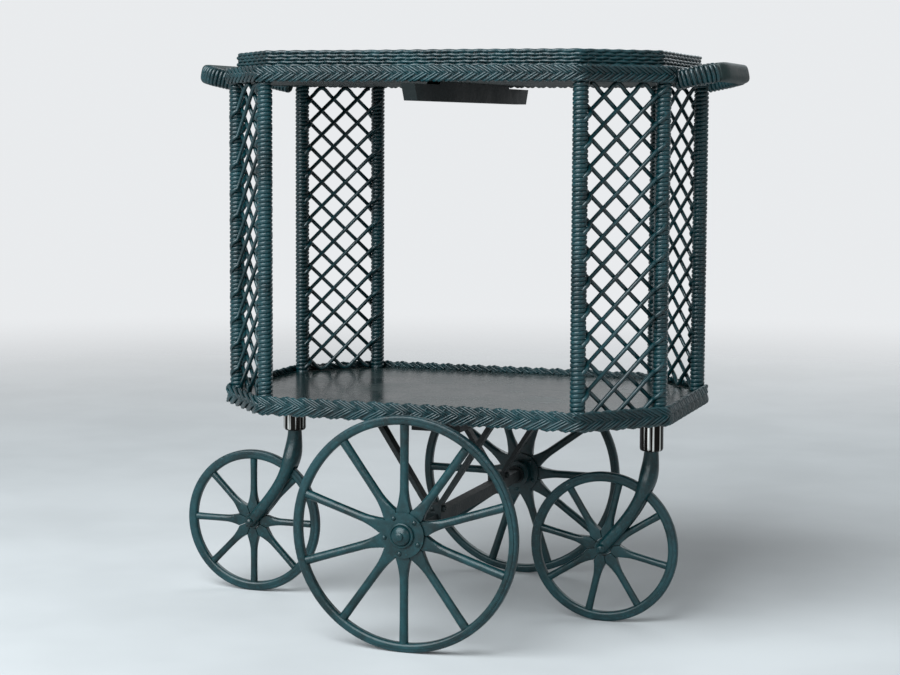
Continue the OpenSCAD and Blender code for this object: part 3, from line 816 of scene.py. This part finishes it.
@dataclass
class Borders(Assembly):
    """The plaited borders of both trays, each with a thin band behind it, sizes in millimetres.

    Attributes:
        top: The plait round the top tray.
        lower: The plait round the lower board.
        corner: Corner radius of a border.
        wall: Thickness of the band.
        short: How much less the band reaches up and down than the border.
        sunk: How far the band lies behind the reeds' middle.
    """

    top: Plait = Plait(height=22.5, group=2, reed=3.4, arm=16.4, slope=0.60, gap=6.3, relief=1.4,
                       scallop=0.3, behind=4.0)
    lower: Plait = Plait(height=27.5, group=3, reed=3.2, arm=24.4, slope=0.55, gap=6.5, relief=1.5,
                         scallop=0.9, behind=13.0)
    corner: float = 15.0
    wall: float = 0.5
    short: float = 2.5
    sunk: float = 0.2

    PROUD = 1.3  # how far the reeds stand out, in reliefs
    BAND_SIDES = 160

    def border(self, node: str, plait: Plait) -> None:
        """Plaits one border in place of its plain band.

        Args:
            node: The CAD node.
            plait: The plait to lay.
        """
        low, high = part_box(node)
        offset = self.layout.outer(high) - (plait.relief * self.PROUD + plait.reed / 2) * MM
        ring = Ring(self.layout, offset, self.corner * MM)
        piece = reeds(node + "_plait", plait.lay(ring, (low.z + high.z) / 2), plait.reed * MM / 2,
                      REED_SIDES)
        band = self.band(offset - self.sunk * MM, low.z + self.short * MM, high.z - self.short * MM)
        hand_in(join(piece, band), node + "_plait", self.finishes.reed, node)

    def band(self, offset: float, low: float, high: float) -> bpy.types.Object:
        """A thin band behind a plait, so that no light shows through it.

        Args:
            offset: Its distance from the post octagon.
            low: Its lower edge.
            high: Its upper edge.

        Returns:
            The band.
        """
        ring = Ring(self.layout, offset, self.corner * MM)
        deselect()
        bpy.ops.mesh.primitive_circle_add(vertices=self.BAND_SIDES, radius=1.0)
        band = bpy.context.object
        for index, vertex in enumerate(band.data.vertices):
            vertex.co = (*ring.at(ring.length * index / self.BAND_SIDES)[0], low)
        with editing(band):
            bpy.ops.mesh.extrude_region_move(TRANSFORM_OT_translate={"value": (0, 0, high - low)})
        modify(band, "SOLIDIFY", thickness=self.wall * MM)
        return tidy_shell(band)

    def build(self) -> None:
        """Plaits both borders."""
        self.border("top_braid", self.top)
        self.border("lower_braid", self.lower)


@dataclass
class Gallery(Assembly):
    """The gallery on the top tray: rows woven in and out of upright stakes, sizes in millimetres.

    Attributes:
        rows: Number of rows.
        gap: Distance from one stake to the next.
        reed: Radius of a row's reed.
        swing: How far a row swings in and out.
        wander: How far a row wanders up and down.
        lift: How far a row rises and falls at the stakes.
        corner: Corner radius of the gallery.
        stake: Radius of a stake.
        sunk: How far a stake stands in the board and ends below the top.
    """

    rows: int = 5
    gap: float = 10.4
    reed: float = 2.4
    swing: float = 1.0
    wander: float = 0.14
    lift: float = 0.35
    corner: float = 11.0
    stake: float = 1.3
    sunk: float = 2.0

    STEPS = 7  # points of a row from stake to stake
    WAVES = 7  # slow waves of a row round the tray
    ROOM = 1.25  # from an outer row's middle to the edge, in reed radii

    def row(self, ring: Ring, stakes: int, index: int, height: float, drift: float) -> list[Vector]:
        """Works out one row.

        Args:
            ring: Line through the stakes.
            stakes: Number of stakes.
            index: The row's number from below.
            height: The row's height, in metres.
            drift: Phase of the row's slow waves.

        Returns:
            The row's points, once round.
        """
        path = []
        for step in range(stakes * self.STEPS):
            share = step / self.STEPS
            way = ring.length * step / (stakes * self.STEPS)
            spot, normal = ring.at(way)
            flat = spot + normal * (self.swing * MM * math.cos(math.pi * (share + index)))
            rise = (self.wander * math.sin(self.WAVES * TURN * way / ring.length + drift)
                    + self.lift * math.sin(math.pi * step / self.STEPS))
            path.append(Vector((*flat, height + rise * MM)))
        return path

    def build(self) -> None:
        """Weaves the rows and sets the stakes."""
        low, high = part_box("gallery_rows")
        ring = Ring(self.layout, self.layout.outer(high) - (self.reed + self.swing) * MM, self.corner * MM)
        stakes = 2 * round(ring.length / (2 * self.gap * MM))
        pitch = (high.z - low.z - 2 * self.ROOM * self.reed * MM) / (self.rows - 1)
        first = low.z + self.ROOM * self.reed * MM
        uneven = random.Random(SEED + 1)
        paths = [self.row(ring, stakes, index, first + index * pitch, uneven.uniform(0, TURN))
                 for index in range(self.rows)]
        weave = reeds("gallery_weave", paths, self.reed * MM, REED_SIDES, closed=True)
        hand_in(weave, "gallery_weave", self.finishes.reed, "gallery_rows")
        ends = (self.layout.tray_z - self.sunk * MM, high.z - self.sunk * MM)
        spots = [ring.at(ring.length * index / stakes)[0] for index in range(stakes)]
        uprights = reeds("gallery_uprights", [[Vector((*spot, z)) for z in ends] for spot in spots],
                         self.stake * MM, REED_SIDES)
        hand_in(uprights, "gallery_uprights", self.finishes.reed, "gallery_stakes")


@dataclass
class Posts(Assembly):
    """The eight posts, each wound closely with reed as a true screw, sizes in millimetres.

    Attributes:
        pitch: Rise in one turn.
        swell: How far a turn stands out from the groove.
        waver: How unevenly the turns stand out.
        patch: Size of the uneven patches.
    """

    pitch: float = 5.6
    swell: float = 1.5
    waver: float = 0.55
    patch: float = 12.0

    SIDES = 28
    CREASE = 60.0  # edges sharper than this stay crisp, in degrees
    TWIST = 1.3  # turn from one post to the next, in radians
    # A turn's profile: depth under its crest, in swells, at each share of the pitch
    PROFILE = ((1.0, 0.0), (0.28, 0.12), (0.04, 0.28), (0.0, 0.5), (0.04, 0.72), (0.28, 0.88), (1.0, 1.0))

    def wind(self, length: float) -> bpy.types.Object:
        """Winds a reed up the Z axis from the origin.

        Args:
            length: Length of the wound part, in metres.

        Returns:
            The wound piece, cut square at both ends.
        """
        pitch = self.pitch * MM
        shape = [(self.layout.post_radius - sink * self.swell * MM, share) for sink, share in self.PROFILE]
        deselect()
        bpy.ops.mesh.primitive_plane_add(size=1.0)
        piece = bpy.context.object
        with editing(piece):
            bpy.ops.mesh.merge(type="CENTER")
            bpy.ops.transform.translate(value=(shape[0][0], 0, -pitch))
            for (far, share), (last_far, last_share) in zip(shape[1:], shape):
                step = (far - last_far, 0, (share - last_share) * pitch)
                bpy.ops.mesh.extrude_vertices_move(TRANSFORM_OT_translate={"value": step})
        modify(piece, "SCREW", axis="Z", screw_offset=pitch, iterations=math.ceil(length / pitch) + 2,
               steps=self.SIDES, render_steps=self.SIDES, use_merge_vertices=True, merge_threshold=DOUBLE)
        for height, outer in ((0.0, False), (length, True)):
            with editing(piece):
                bpy.ops.mesh.remove_doubles(threshold=DOUBLE)
                bpy.ops.mesh.bisect(plane_co=(0, 0, height), plane_no=(0, 0, 1), use_fill=True,
                                    clear_inner=not outer, clear_outer=outer)
        return tidy_shell(piece, self.CREASE)

    def build(self) -> None:
        """Winds one post and copies it to the eight places."""
        model = self.wind(self.layout.under_z - self.layout.shelf_z)
        wave = bpy.data.textures.new("uneven_winding", "CLOUDS")
        wave.noise_scale = self.patch * MM
        modify(model, "DISPLACE", texture=wave, mid_level=1.0, strength=self.waver * MM)
        for index, (name, (x, y)) in enumerate(zip(Layout.ORDER, self.layout.posts)):
            turn = Matrix.Rotation(index * self.TWIST, 4, "Z")
            twin = twin_of(model, Matrix.Translation((x, y, self.layout.shelf_z)) @ turn)
            hand_in(twin, f"wound_post_{name}", self.finishes.reed, "post_" + name)
        bpy.data.objects.remove(model)


@dataclass
class Lattice(Assembly):
    """The reed lattice across the cut corners, sizes in millimetres.

    Attributes:
        reed: Thickness of a reed.
        diamonds: Number of diamonds up a panel.
        column: Distance between crossing columns.
        phase: Shift of the crossing columns from the panel's middle, in columns.
        arch: Length over which a reed bends round under a tray.
        least: Shortest reed that is laid.
        wrap: How far round a post a reed is led, in degrees.
    """

    reed: float = 5.7
    diamonds: int = 12
    column: float = 19.3
    phase: float = -0.42
    arch: float = 13.0
    least: float = 6.0
    wrap: float = 86.0

    PANELS = (("near_right", 1), ("far_right", 3), ("far_left", 5), ("near_left", 7))
    SPARE = 5  # crossings past a panel's lower and upper end where reeds may start
    LAYER = 0.85  # distance of a layer from the panel's middle plane, in reed radii
    PROUD, TUCK = 0.5, 1.5  # how far a reed lies off a post at first and sinks in by its end, in radii
    CLIMB = 0.55  # travel along the slope per length round a post
    SIDES = 10
    ARCH_STEPS = 6
    POST_STEPS = 8

    @property
    def radius(self) -> float:
        """Returns the radius of a reed, in metres."""
        return self.reed * MM / 2

    @property
    def height(self) -> float:
        """Returns the height of a panel, in metres."""
        return self.layout.under_z - self.layout.shelf_z

    def panel(self, name: str, first: int) -> None:
        """Weaves one panel.

        Args:
            name: The panel's name.
            first: Index of its first post.
        """
        posts = self.layout.posts
        start, end = Vector(posts[first]), Vector(posts[(first + 1) % len(posts)])
        along = (end - start).normalized()
        outward = Vector((along.y, -along.x))
        middle = (start + end) / 2
        half = (end - start).length / 2
        row = self.height / (2 * self.diamonds)
        slope = row / (self.column * MM)
        paths = []
        for lean in (1, -1):
            for index in range(1 - self.SPARE, self.diamonds + self.SPARE + 1):
                path = [Vector((*(middle + along * u + outward * out), self.layout.shelf_z + rise))
                        for u, out, rise in self.reed_line(lean, index * 2 * row, slope, half)]
                if path:
                    paths.append(path)
        piece = reeds("lattice_" + name, paths, self.radius, self.SIDES)
        hand_in(piece, "woven_lattice_" + name, self.finishes.reed, "lattice_" + name)

    def reed_line(self, lean: int, crossing: float, slope: float, half: float) -> list[Spot]:
        """One reed: straight across, bent round under the trays, or led round the posts.

        Args:
            lean: 1 rises along the panel and -1 falls.
            crossing: Height of its crossing on the middle column.
            slope: Rise over run.
            half: Half the distance between the post centres.

        Returns:
            Its points, or nothing where the reed misses the panel.
        """
        shift = self.phase * self.column * MM
        reach = half - self.layout.post_radius
        layer = lean * self.radius * self.LAYER

        def rise(u: float) -> float:
            """Returns the reed's height at a place along the panel."""
            return crossing + lean * slope * (u - shift)

        def place(z: float) -> float:
            """Returns the place along the panel where the reed has a height."""
            return shift + (z - crossing) / (lean * slope)

        lowest, highest = sorted((place(0.0), place(self.height)))
        left, right = max(-reach, lowest), min(reach, highest)
        if right - left < self.least * MM:
            return []
        points = []
        for side, limit, edge in ((-1, left, lowest), (1, right, highest)):
            if limit == edge:
                points.append(self.arched(side, limit, rise, layer))
            else:
                points.append(self.round_post(side, half, rise, layer))
        return points[0][::-1] + points[1]

    def arched(self, side: int, limit: float, rise: Callable[[float], float], layer: float) -> list[Spot]:
        """The end of a reed that bends over under a tray.

        Args:
            side: -1 for the left end and 1 for the right end.
            limit: Place where the straight reed would meet the tray.
            rise: Height of the straight reed at a place.
            layer: Its distance outwards from the panel's middle plane.

        Returns:
            Points from the straight part to the end.
        """
        span = self.arch * MM
        turn = rise(limit - side * span)
        top = self.height - self.radius if turn > self.height / 2 else self.radius
        points = []
        for step in range(self.ARCH_STEPS + 1):
            share = step / self.ARCH_STEPS
            bend = math.sin(share * math.pi / 2)
            u = limit - side * span * (1 - share)
            points.append((u, layer * (1 - share), turn + (top - turn) * bend))
        return points

    def round_post(self, side: int, half: float, rise: Callable[[float], float], layer: float) -> list[Spot]:
        """The end of a reed that is led round a post and tucked into its winding.

        Args:
            side: -1 for the left post and 1 for the right post.
            half: Half the distance between the post centres.
            rise: Height of the straight reed at a place.
            layer: Its distance outwards from the panel's middle plane.

        Returns:
            Points from the straight part to the end.
        """
        post = self.layout.post_radius
        points = []
        for step in range(self.POST_STEPS + 1):
            share = step / self.POST_STEPS
            angle = share * math.radians(self.wrap)
            away = post + self.radius * (self.PROUD - self.TUCK * share * share)
            out = math.copysign(away * math.sin(angle), layer) + layer * (1 - share)
            travel = side * (half - away + post * self.CLIMB * angle)
            points.append((side * (half - away * math.cos(angle)), out, rise(travel)))
        return points

    def build(self) -> None:
        """Weaves all four panels."""
        for name, first in self.PANELS:
            self.panel(name, first)


@dataclass
class Handles(Assembly):
    """The two U handles: legs wound with reed and a smooth outer bar, sizes in millimetres.

    Attributes:
        thick: Thickness of the bar, seen from above.
        tall: Height of the bar.
        corner: Corner radius along its middle.
        tilt: How far it rises outwards, in degrees.
        wound: Length along the bar that is wound with reed.
        pitch: Distance from one turn to the next.
        root_rise: Height of a root's middle above the upper board's underside.
        inset: How far the roots reach into the border.
        bar: Distance of the outer bar from the border's face, in metres, measured for each handle.
        leg: Half the distance between the legs, in metres, measured too.
    """

    thick: float = 21.0
    tall: float = 25.4
    corner: float = 38.0
    tilt: float = 12.0
    wound: float = 50.0
    pitch: float = 5.4
    root_rise: float = 3.0
    inset: float = 6.0
    bar: float = 0.0
    leg: float = 0.0

    SQUARE = 3.6
    SIDES = 32
    OUTWARD = 0.5  # shift of the outer bar, because it is made slimmer than its node
    BETWEEN = 0.6  # place of one more ring on the outer bar, from its middle towards the corner
    STEP_UP = 1.5  # length of the step from the core under the winding up to the bare bar
    CORE, BARE, REED = -2.8, -0.6, -2.5  # what core, bare bar and winding's middle line add all round
    FULL = 0.53  # radius of the winding's reed, in pitches
    CORNER_STEPS = 14
    TURN_STEPS = 30
    APART = 2.0  # least distance of a corner's ring from the step

    def section(self, way: float, grow: float) -> Section:
        """Gives the bar's section at a spot on its way along a leg and round the corner.

        Args:
            way: Distance from the border's face, in metres.
            grow: Millimetres added all round.

        Returns:
            The section.
        """
        radius = self.corner * MM
        angle = min(max(0.0, (way - self.bar + radius) / radius), math.pi / 2)
        past = max(0.0, way - self.bar + radius - radius * math.pi / 2)
        spot = Vector((min(way, self.bar - radius) + radius * math.sin(angle),
                       -self.leg + radius * (1 - math.cos(angle)) + past, 0))
        across = Vector((-math.sin(angle), math.cos(angle), 0))
        return Section(spot, across * (self.thick / 2 + grow) * MM,
                       Vector((0, 0, (self.tall / 2 + grow) * MM)), self.SQUARE)

    def half(self, name: str, hand: int) -> tuple[bpy.types.Object, bpy.types.Object]:
        """Makes half a handle, one leg with half the outer bar.

        Args:
            name: The CAD node.
            hand: 1 for one leg and -1 for its mirror image.

        Returns:
            The bar and the winding.
        """
        corner = self.corner * MM
        start, bend = self.bar - corner, corner * math.pi / 2
        side = self.leg - corner
        middle = start + bend + side
        core = (self.wound - self.STEP_UP) * MM
        ways = [-self.inset * MM, core, core + self.STEP_UP * MM, middle - side * self.BETWEEN, middle]
        arc = [start + bend * i / self.CORNER_STEPS for i in range(self.CORNER_STEPS + 1)]
        ways += [way for way in arc if abs(way - core) > self.APART * MM]
        rings = [self.section(way, self.CORE if way <= core else self.BARE) for way in sorted(ways)]
        path = []
        for step in range(round((self.wound + self.inset) / self.pitch) * self.TURN_STEPS + 1):
            way = (-self.inset + self.pitch * step / self.TURN_STEPS) * MM
            path.append(self.section(way, self.REED).at(TURN * step / self.TURN_STEPS))
        parts = (loft(name + "_half", self.SIDES, rings),
                 reeds(name + "_winding", [path], self.pitch * MM * self.FULL, REED_SIDES))
        for part in parts:
            part.data.transform(Matrix.Diagonal((1, hand, 1, 1)))
            if hand < 0:
                part.data.flip_normals()
        return parts

    def handle(self, side: int, name: str) -> None:
        """Makes one handle.

        Args:
            side: 1 for the right end and -1 for the left end.
            name: The CAD node.
        """
        low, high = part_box(name)
        centre = self.layout.centre_x
        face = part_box("top_braid")[1].x - centre
        reach = (high.x if side > 0 else -low.x) - side * centre - face
        self.leg = (high.y - low.y) / 2 - self.thick * MM / 2
        self.bar = reach - self.thick * MM / 2 + self.OUTWARD * MM
        root = Vector((centre + side * face, 0, self.layout.under_z + self.root_rise * MM))
        place = (Matrix.Translation(root) @ Matrix.Rotation(0 if side > 0 else math.pi, 4, "Z")
                 @ Matrix.Rotation(-math.radians(self.tilt), 4, "Y"))
        kinds = (("_bar", self.finishes.bar), ("_winding", self.finishes.reed))
        for (ending, material), parts in zip(kinds, zip(self.half(name, 1), self.half(name, -1))):
            piece = join(*parts)
            piece.data.transform(place)
            hand_in(piece, name + ending, material, name)

    def build(self) -> None:
        """Makes both handles."""
        self.handle(1, "handle_right")
        self.handle(-1, "handle_left")


@dataclass(frozen=True)
class Spoke:
    """A flared wooden spoke, sizes in millimetres.

    Attributes:
        count: Number of spokes in the wheel.
        start: Distance of its foot from the wheel's centre.
        wedge: Distance where the hollow flare begins.
        flare: Distance where the round part begins.
        end: Distance where it enters the rim.
        thick: Thickness of the foot.
        radius: Radius of the round part.
    """

    count: int
    start: float
    wedge: float
    flare: float
    end: float
    thick: float
    radius: float

    GAP = 0.3  # half the gap between neighbouring feet
    HOLLOW = 2.4  # how hollow the flare is in front view; 1 is straight
    SQUARE = 16.0  # squareness of the foot's section, see Section
    SHARES = (0.0, 0.06, 0.13, 0.22, 0.33, 0.46, 0.62, 0.8, 1.0)  # rings of the flare
    ROUND = ((0.3, 0.97), (0.65, 0.98), (1.0, 1.04))  # fullness at shares of the round part

    def sections(self) -> list[Section]:
        """Works out the rings, along +X in the wheel's plane, which is XY.

        Returns:
            The rings from the hub to the rim.
        """
        slope = math.tan(math.pi / self.count)
        foot = self.wedge * slope - self.GAP
        rows = [(self.start, self.start * slope - self.GAP, self.thick / 2, self.SQUARE)]
        for share in self.SHARES:
            rest = 1 - share
            rows.append((self.wedge + (self.flare - self.wedge) * share,
                         self.radius + (foot - self.radius) * rest ** self.HOLLOW,
                         self.radius + (self.thick / 2 - self.radius) * rest ** 2,
                         2 + (self.SQUARE - 2) * rest ** 3))
        rows += [(self.flare + (self.end - self.flare) * share, self.radius * fat, self.radius * fat, 2.0)
                 for share, fat in self.ROUND]
        return [Section(Vector((x * MM, 0, 0)), Vector((0, half * MM, 0)), Vector((0, 0, deep * MM)), square)
                for x, half, deep, square in rows]


@dataclass
class Wheels(Assembly):
    """The spokes of all four wheels.

    Attributes:
        large: A spoke of the large wheels.
        small: A spoke of the small wheels.
    """

    large: Spoke = Spoke(count=10, start=17.1, wedge=31.0, flare=63.0, end=140.4, thick=11.6, radius=5.7)
    small: Spoke = Spoke(count=8, start=11.6, wedge=21.5, flare=47.0, end=89.4, thick=11.0, radius=5.0)

    SIDES = 24
    CREASE = 38.0  # edges sharper than this stay crisp, in degrees

    def spokes(self, wheel: str, body: str, turn: float, spoke: Spoke) -> None:
        """Models one spoke and copies it round its hub.

        Args:
            wheel: Start of the wheel's node names.
            body: The wheel's body.
            turn: Angle of its first spoke, in degrees.
            spoke: The kind of spoke.
        """
        low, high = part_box(wheel + "_rim")
        stand = Matrix.Translation((low + high) / 2) @ Matrix.Rotation(math.pi / 2, 4, "X")
        model = loft(wheel + "_spoke", self.SIDES, spoke.sections(), self.CREASE)
        twins = [twin_of(model, stand @ Matrix.Rotation(math.radians(turn + i * 360 / spoke.count), 4, "Z"))
                 for i in range(spoke.count)]
        bpy.data.objects.remove(model)
        hand_in(join(*twins), wheel + "_spokes_flared", self.finishes.turned, wheel + "_spokes", body)

    def build(self) -> None:
        """Makes the spokes of each wheel."""
        self.spokes("near", "near_wheel", 90.0, self.large)
        self.spokes("far", "far_wheel", 0.0, self.large)
        self.spokes("right_caster", "right_small_wheel", -13.0, self.small)
        self.spokes("left_caster", "left_small_wheel", 0.0, self.small)


@dataclass
class Forks(Assembly):
    """The forged forks of the small wheels, sizes in millimetres.

    Attributes:
        blade: Half width of a blade.
        swell: How much wider the crown is.
        neck: Radius of the neck.
        stem: Radius of the stem.
        slot: Gap between the blades.
        wall: Thickness of a blade.
        bore: Radius of the bolt's bore.
        room: Room between the tyre and the crown.
        soft: Radius of the edges.
        lean: Angle of the blades' lower end from upright, in degrees.
    """

    blade: float = 8.9
    swell: float = 3.3
    neck: float = 9.75
    stem: float = 5.5
    slot: float = 17.6
    wall: float = 8.0
    bore: float = 4.1
    room: float = 4.0
    soft: float = 0.9
    lean: float = 40.0

    STEM_LENGTH = 44.0
    GAP = 0.4  # from the socket to the neck
    DROP = 0.47  # hold of the upright start of the curve, in heights
    REACH = 0.41  # hold of the leaning end of the curve, in heights
    CROWN, SPREAD = 0.18, 0.15  # place and length of the crown's swell, in shares of the curve
    SPLIT, WIDEN = 0.05, 0.23  # where the neck starts to widen and how long it takes
    SQUARE, SQUARE_BY = 0.9, 0.4  # squareness that the section gains, and by which share of the curve
    SIDES = 40
    STEPS = 30
    ROUND_END = (20, 38, 54, 68, 80)  # rings of the round end, in degrees
    CUTTER_SIDES = 96
    BORE_LENGTH = 200.0
    CREASE = 40.0  # edges sharper than this are cut edges, in degrees
    SHARP = 35.0  # edges sharper than this stay crisp once they are rounded

    def sections(self, top: Vector, tip: Vector) -> list[Section]:
        """Works out the rings from the stem to the end of the blades.

        Args:
            top: Upper end of the neck.
            tip: Middle of the wheel's bolt.

        Returns:
            The rings.
        """
        tall = top.z - tip.z
        lean = math.radians(self.lean)
        line = (top, top - Vector((0, 0, tall * self.DROP)),
                tip + Vector((math.sin(lean), 0, math.cos(lean))) * tall * self.REACH, tip)
        side = Vector((0, 1, 0))
        rings = []
        for rise in (self.STEM_LENGTH, 0.0):
            spot = top + Vector((0, 0, rise * MM))
            rings.append(Section(spot, Vector((-self.stem * MM, 0, 0)), side * self.stem * MM))
        shares = [(i / self.STEPS, 0.0) for i in range(self.STEPS + 1)]
        for share, past in shares + [(1.0, turn) for turn in self.ROUND_END]:
            rest = 1 - share
            spot = (line[0] * rest ** 3 + line[1] * (3 * rest * rest * share)
                    + line[2] * (3 * rest * share * share) + line[3] * share ** 3)
            way = ((line[1] - line[0]) * rest * rest + (line[2] - line[1]) * (2 * rest * share)
                   + (line[3] - line[2]) * share * share).normalized()
            grown = min(1.0, max(0.0, share - self.SPLIT) / self.WIDEN)
            deep = self.neck + (self.slot / 2 + self.wall - self.neck) * grown * grown * (3 - 2 * grown)
            half = self.blade + self.swell * math.exp(-((share - self.CROWN) / self.SPREAD) ** 2)
            turn = math.radians(past)
            spot = spot + way * (half * MM * math.sin(turn))
            across = Vector((way.z, 0, -way.x)) * (half * MM * math.cos(turn))
            rings.append(Section(spot, across, side * deep * MM,
                                 2 + self.SQUARE * min(1.0, share / self.SQUARE_BY)))
        return rings

    def fork(self, side: str) -> None:
        """Makes one fork.

        Args:
            side: right or left.
        """
        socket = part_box(f"socket_{side}")
        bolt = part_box(f"{side}_fork_bolt")
        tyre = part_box(f"{side}_caster_tyre")
        top = Vector(((socket[0].x + socket[1].x) / 2, 0, socket[0].z - self.GAP * MM))
        tip = Vector(((bolt[0].x + bolt[1].x) / 2, 0, (tyre[0].z + tyre[1].z) / 2))
        piece = loft(f"{side}_fork_blank", self.SIDES, self.sections(top, tip), self.CREASE)
        clear = (tyre[1].z - tyre[0].z) / 2 + self.room * MM
        for radius, depth in ((clear, self.slot), (self.bore * MM, self.BORE_LENGTH)):
            deselect()
            bpy.ops.mesh.primitive_cylinder_add(vertices=self.CUTTER_SIDES, radius=radius, depth=depth * MM,
                                                location=tip, rotation=(math.pi / 2, 0, 0))
            cutter = bpy.context.object
            modify(piece, "BOOLEAN", object=cutter, operation="DIFFERENCE", solver="EXACT")
            bpy.data.objects.remove(cutter)
        modify(piece, "BEVEL", width=self.soft * MM, segments=3, limit_method="ANGLE",
               angle_limit=math.radians(self.CREASE))
        tidy_shell(piece, self.SHARP)
        hand_in(piece, f"forged_{side}_fork", self.finishes.cast, f"{side}_fork", f"{side}_caster")

    def build(self) -> None:
        """Makes both forks."""
        self.fork("right")
        self.fork("left")


@dataclass
class PlainNodes(Assembly):
    """Finishes for the CAD nodes that stay as they are.

    Attributes:
        nodes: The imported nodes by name.
    """

    nodes: dict[str, bpy.types.Object]

    def choose(self, name: str) -> bpy.types.Material:
        """Finds a node's finish by the first of these words in its name.

        Args:
            name: The node's name.

        Returns:
            Its material.
        """
        paints = self.finishes
        # Batten, rails and bolsters take the batten paint, and axle, hangers and saddles the darkest paint:
        # both paint in the shade under the trays; the upper board's darker paint paints the shade beneath it.
        rules = (("tyre", paints.tyre), ("socket", paints.polished), ("batten_screws", paints.dull),
                 ("fork_bolt", paints.cast), ("axle", paints.shade_dark), ("batten", paints.batten),
                 ("top_board", paints.underside), ("board", paints.board), ("rail", paints.batten),
                 ("bolster", paints.batten), ("hanger", paints.shade_dark), ("saddle", paints.shade_dark))
        return next((material for word, material in rules if word in name), paints.turned)

    def build(self) -> None:
        """Gives every node its material."""
        for name, node in self.nodes.items():
            node.data.materials.clear()
            node.data.materials.append(self.choose(name))


@dataclass
class Studio:
    """Floor, light and camera.

    Attributes:
        centre_x: X of the middle of the cart.
        eye: Camera place from that middle, in metres.
        yaw: Turn to the left of +Y, in degrees.
        pitch: Downward tilt, in degrees.
        roll: Roll, in degrees.
        lens: Focal length in millimetres on a 36 mm wide frame.
        shift: Vertical shift of the frame, in frame widths.
    """

    centre_x: float
    eye: tuple[float, float, float] = (0.889, -2.6266, 0.6698)
    yaw: float = 19.226
    pitch: float = 4.732
    roll: float = 0.3
    lens: float = 81.15
    shift: float = -0.05

    FLOOR = 14.0  # side of the floor, in metres
    AIM = 0.45  # height that the lamps point at, in metres
    FRAME = 36.0  # width of the camera's frame, in millimetres
    FAR = 60.0  # farthest distance that the camera sees, in metres
    FLOOR_TONES = (0.54, 0.545, 0.55), (0.59, 0.595, 0.60)
    FLOOR_ROUGH, FLOOR_SHINE = 0.85, 0.1
    FADE = (1.3, 4.5)  # distances over which the floor fades out, in metres
    LAMP_TONE = (0.88, 0.96, 1.0)
    LAMPS = (("key_lamp", (-1.1, -3.2, 2.9), 3.9, 400),  # name, place, side of its face, watts
             ("fill_lamp", (3.2, -1.6, 1.8), 1.6, 16),
             ("back_lamp", (0.4, 3.0, 2.6), 2.6, 40))
    SKY_TONE = (0.96, 0.98, 1.0)
    BASE, METAL, BACKDROP = 0.15, 0.29, 0.70  # surround's strength, and what metal and the camera add to it

    def camera(self) -> None:
        """Places the camera at the photograph's viewing angle."""
        data = bpy.data.cameras.new("camera")
        data.lens = self.lens
        data.sensor_width = self.FRAME
        data.sensor_fit = "HORIZONTAL"
        data.shift_y = self.shift
        data.clip_end = self.FAR
        camera = bpy.data.objects.new("camera", data)
        bpy.context.scene.collection.objects.link(camera)
        place = Vector(self.eye) + Vector((self.centre_x, 0, 0))
        camera.matrix_world = (Matrix.Translation(place) @ Matrix.Rotation(math.radians(self.yaw), 4, "Z")
                               @ Matrix.Rotation(math.radians(90 - self.pitch), 4, "X")
                               @ Matrix.Rotation(math.radians(self.roll), 4, "Z"))
        bpy.context.scene.camera = camera

    def floor(self) -> None:
        """Lays a plain pale floor that fades out into the surround."""
        deselect()
        bpy.ops.mesh.primitive_plane_add(size=self.FLOOR)
        floor = bpy.context.object
        floor.name = "studio_floor"
        recipe = Recipe(bpy.data.materials.new("pale_floor"))
        tone = recipe.noise(recipe.place(), 3.0, 3.0).window(0.3, 0.7)
        shade = recipe.mix(tone, *self.FLOOR_TONES)
        away = recipe.node("ShaderNodeVectorMath", {"operation": "LENGTH"}, {0: recipe.place()}, "Value")
        sockets = {"Alpha": away.window(*self.FADE, 1.0, 0.0), "Specular IOR Level": self.FLOOR_SHINE}
        floor.data.materials.append(recipe.finish(shade, self.FLOOR_ROUGH, sockets))

    def lamp(self, name: str, place: Sequence[float], size: float, power: float) -> None:
        """Hangs one soft lamp that points at the cart's middle.

        Args:
            name: The lamp's name.
            place: Where it hangs, in metres.
            size: Side of its square face.
            power: Power in watts.
        """
        data = bpy.data.lights.new(name, "AREA")
        data.shape = "SQUARE"
        data.size = size
        data.energy = power
        data.color = self.LAMP_TONE
        lamp = bpy.data.objects.new(name, data)
        bpy.context.scene.collection.objects.link(lamp)
        way = Vector((self.centre_x, 0.0, self.AIM)) - Vector(place)
        lamp.matrix_world = Matrix.Translation(place) @ way.to_track_quat("-Z", "Y").to_matrix().to_4x4()

    def light(self) -> None:
        """Sets soft light from above and both sides, and a surround that is pale to camera and metal."""
        for lamp in self.LAMPS:
            self.lamp(*lamp)
        world = bpy.data.worlds.new("pale_surround")
        bpy.context.scene.world = world
        recipe = Recipe(world)
        seen, mirrored = (recipe.node("ShaderNodeLightPath", output=kind)
                          for kind in ("Is Camera Ray", "Is Glossy Ray"))
        strength = mirrored * self.METAL + self.BASE + seen * self.BACKDROP
        sky = recipe.node("ShaderNodeBackground", None, {"Color": self.SKY_TONE, "Strength": strength})
        recipe.node("ShaderNodeOutputWorld", None, {"Surface": sky}, None)

    def build(self) -> None:
        """Builds the whole studio."""
        bpy.context.scene.view_settings.view_transform = "Standard"
        self.camera()
        self.floor()
        self.light()


def main() -> None:
    """Builds the cart's looks in order."""
    logging.basicConfig(level=logging.INFO, format="%(name)s: %(message)s")
    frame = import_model()
    layout = Layout.read()
    Studio(layout.centre_x).build()
    finishes = Finishes()
    PlainNodes(layout, finishes, frame["nodes"]).build()
    for kind in (Borders, Gallery, Posts, Lattice, Handles, Wheels, Forks):
        kind(layout, finishes).build()
    deselect()


if __name__ == "__main__":
    main()
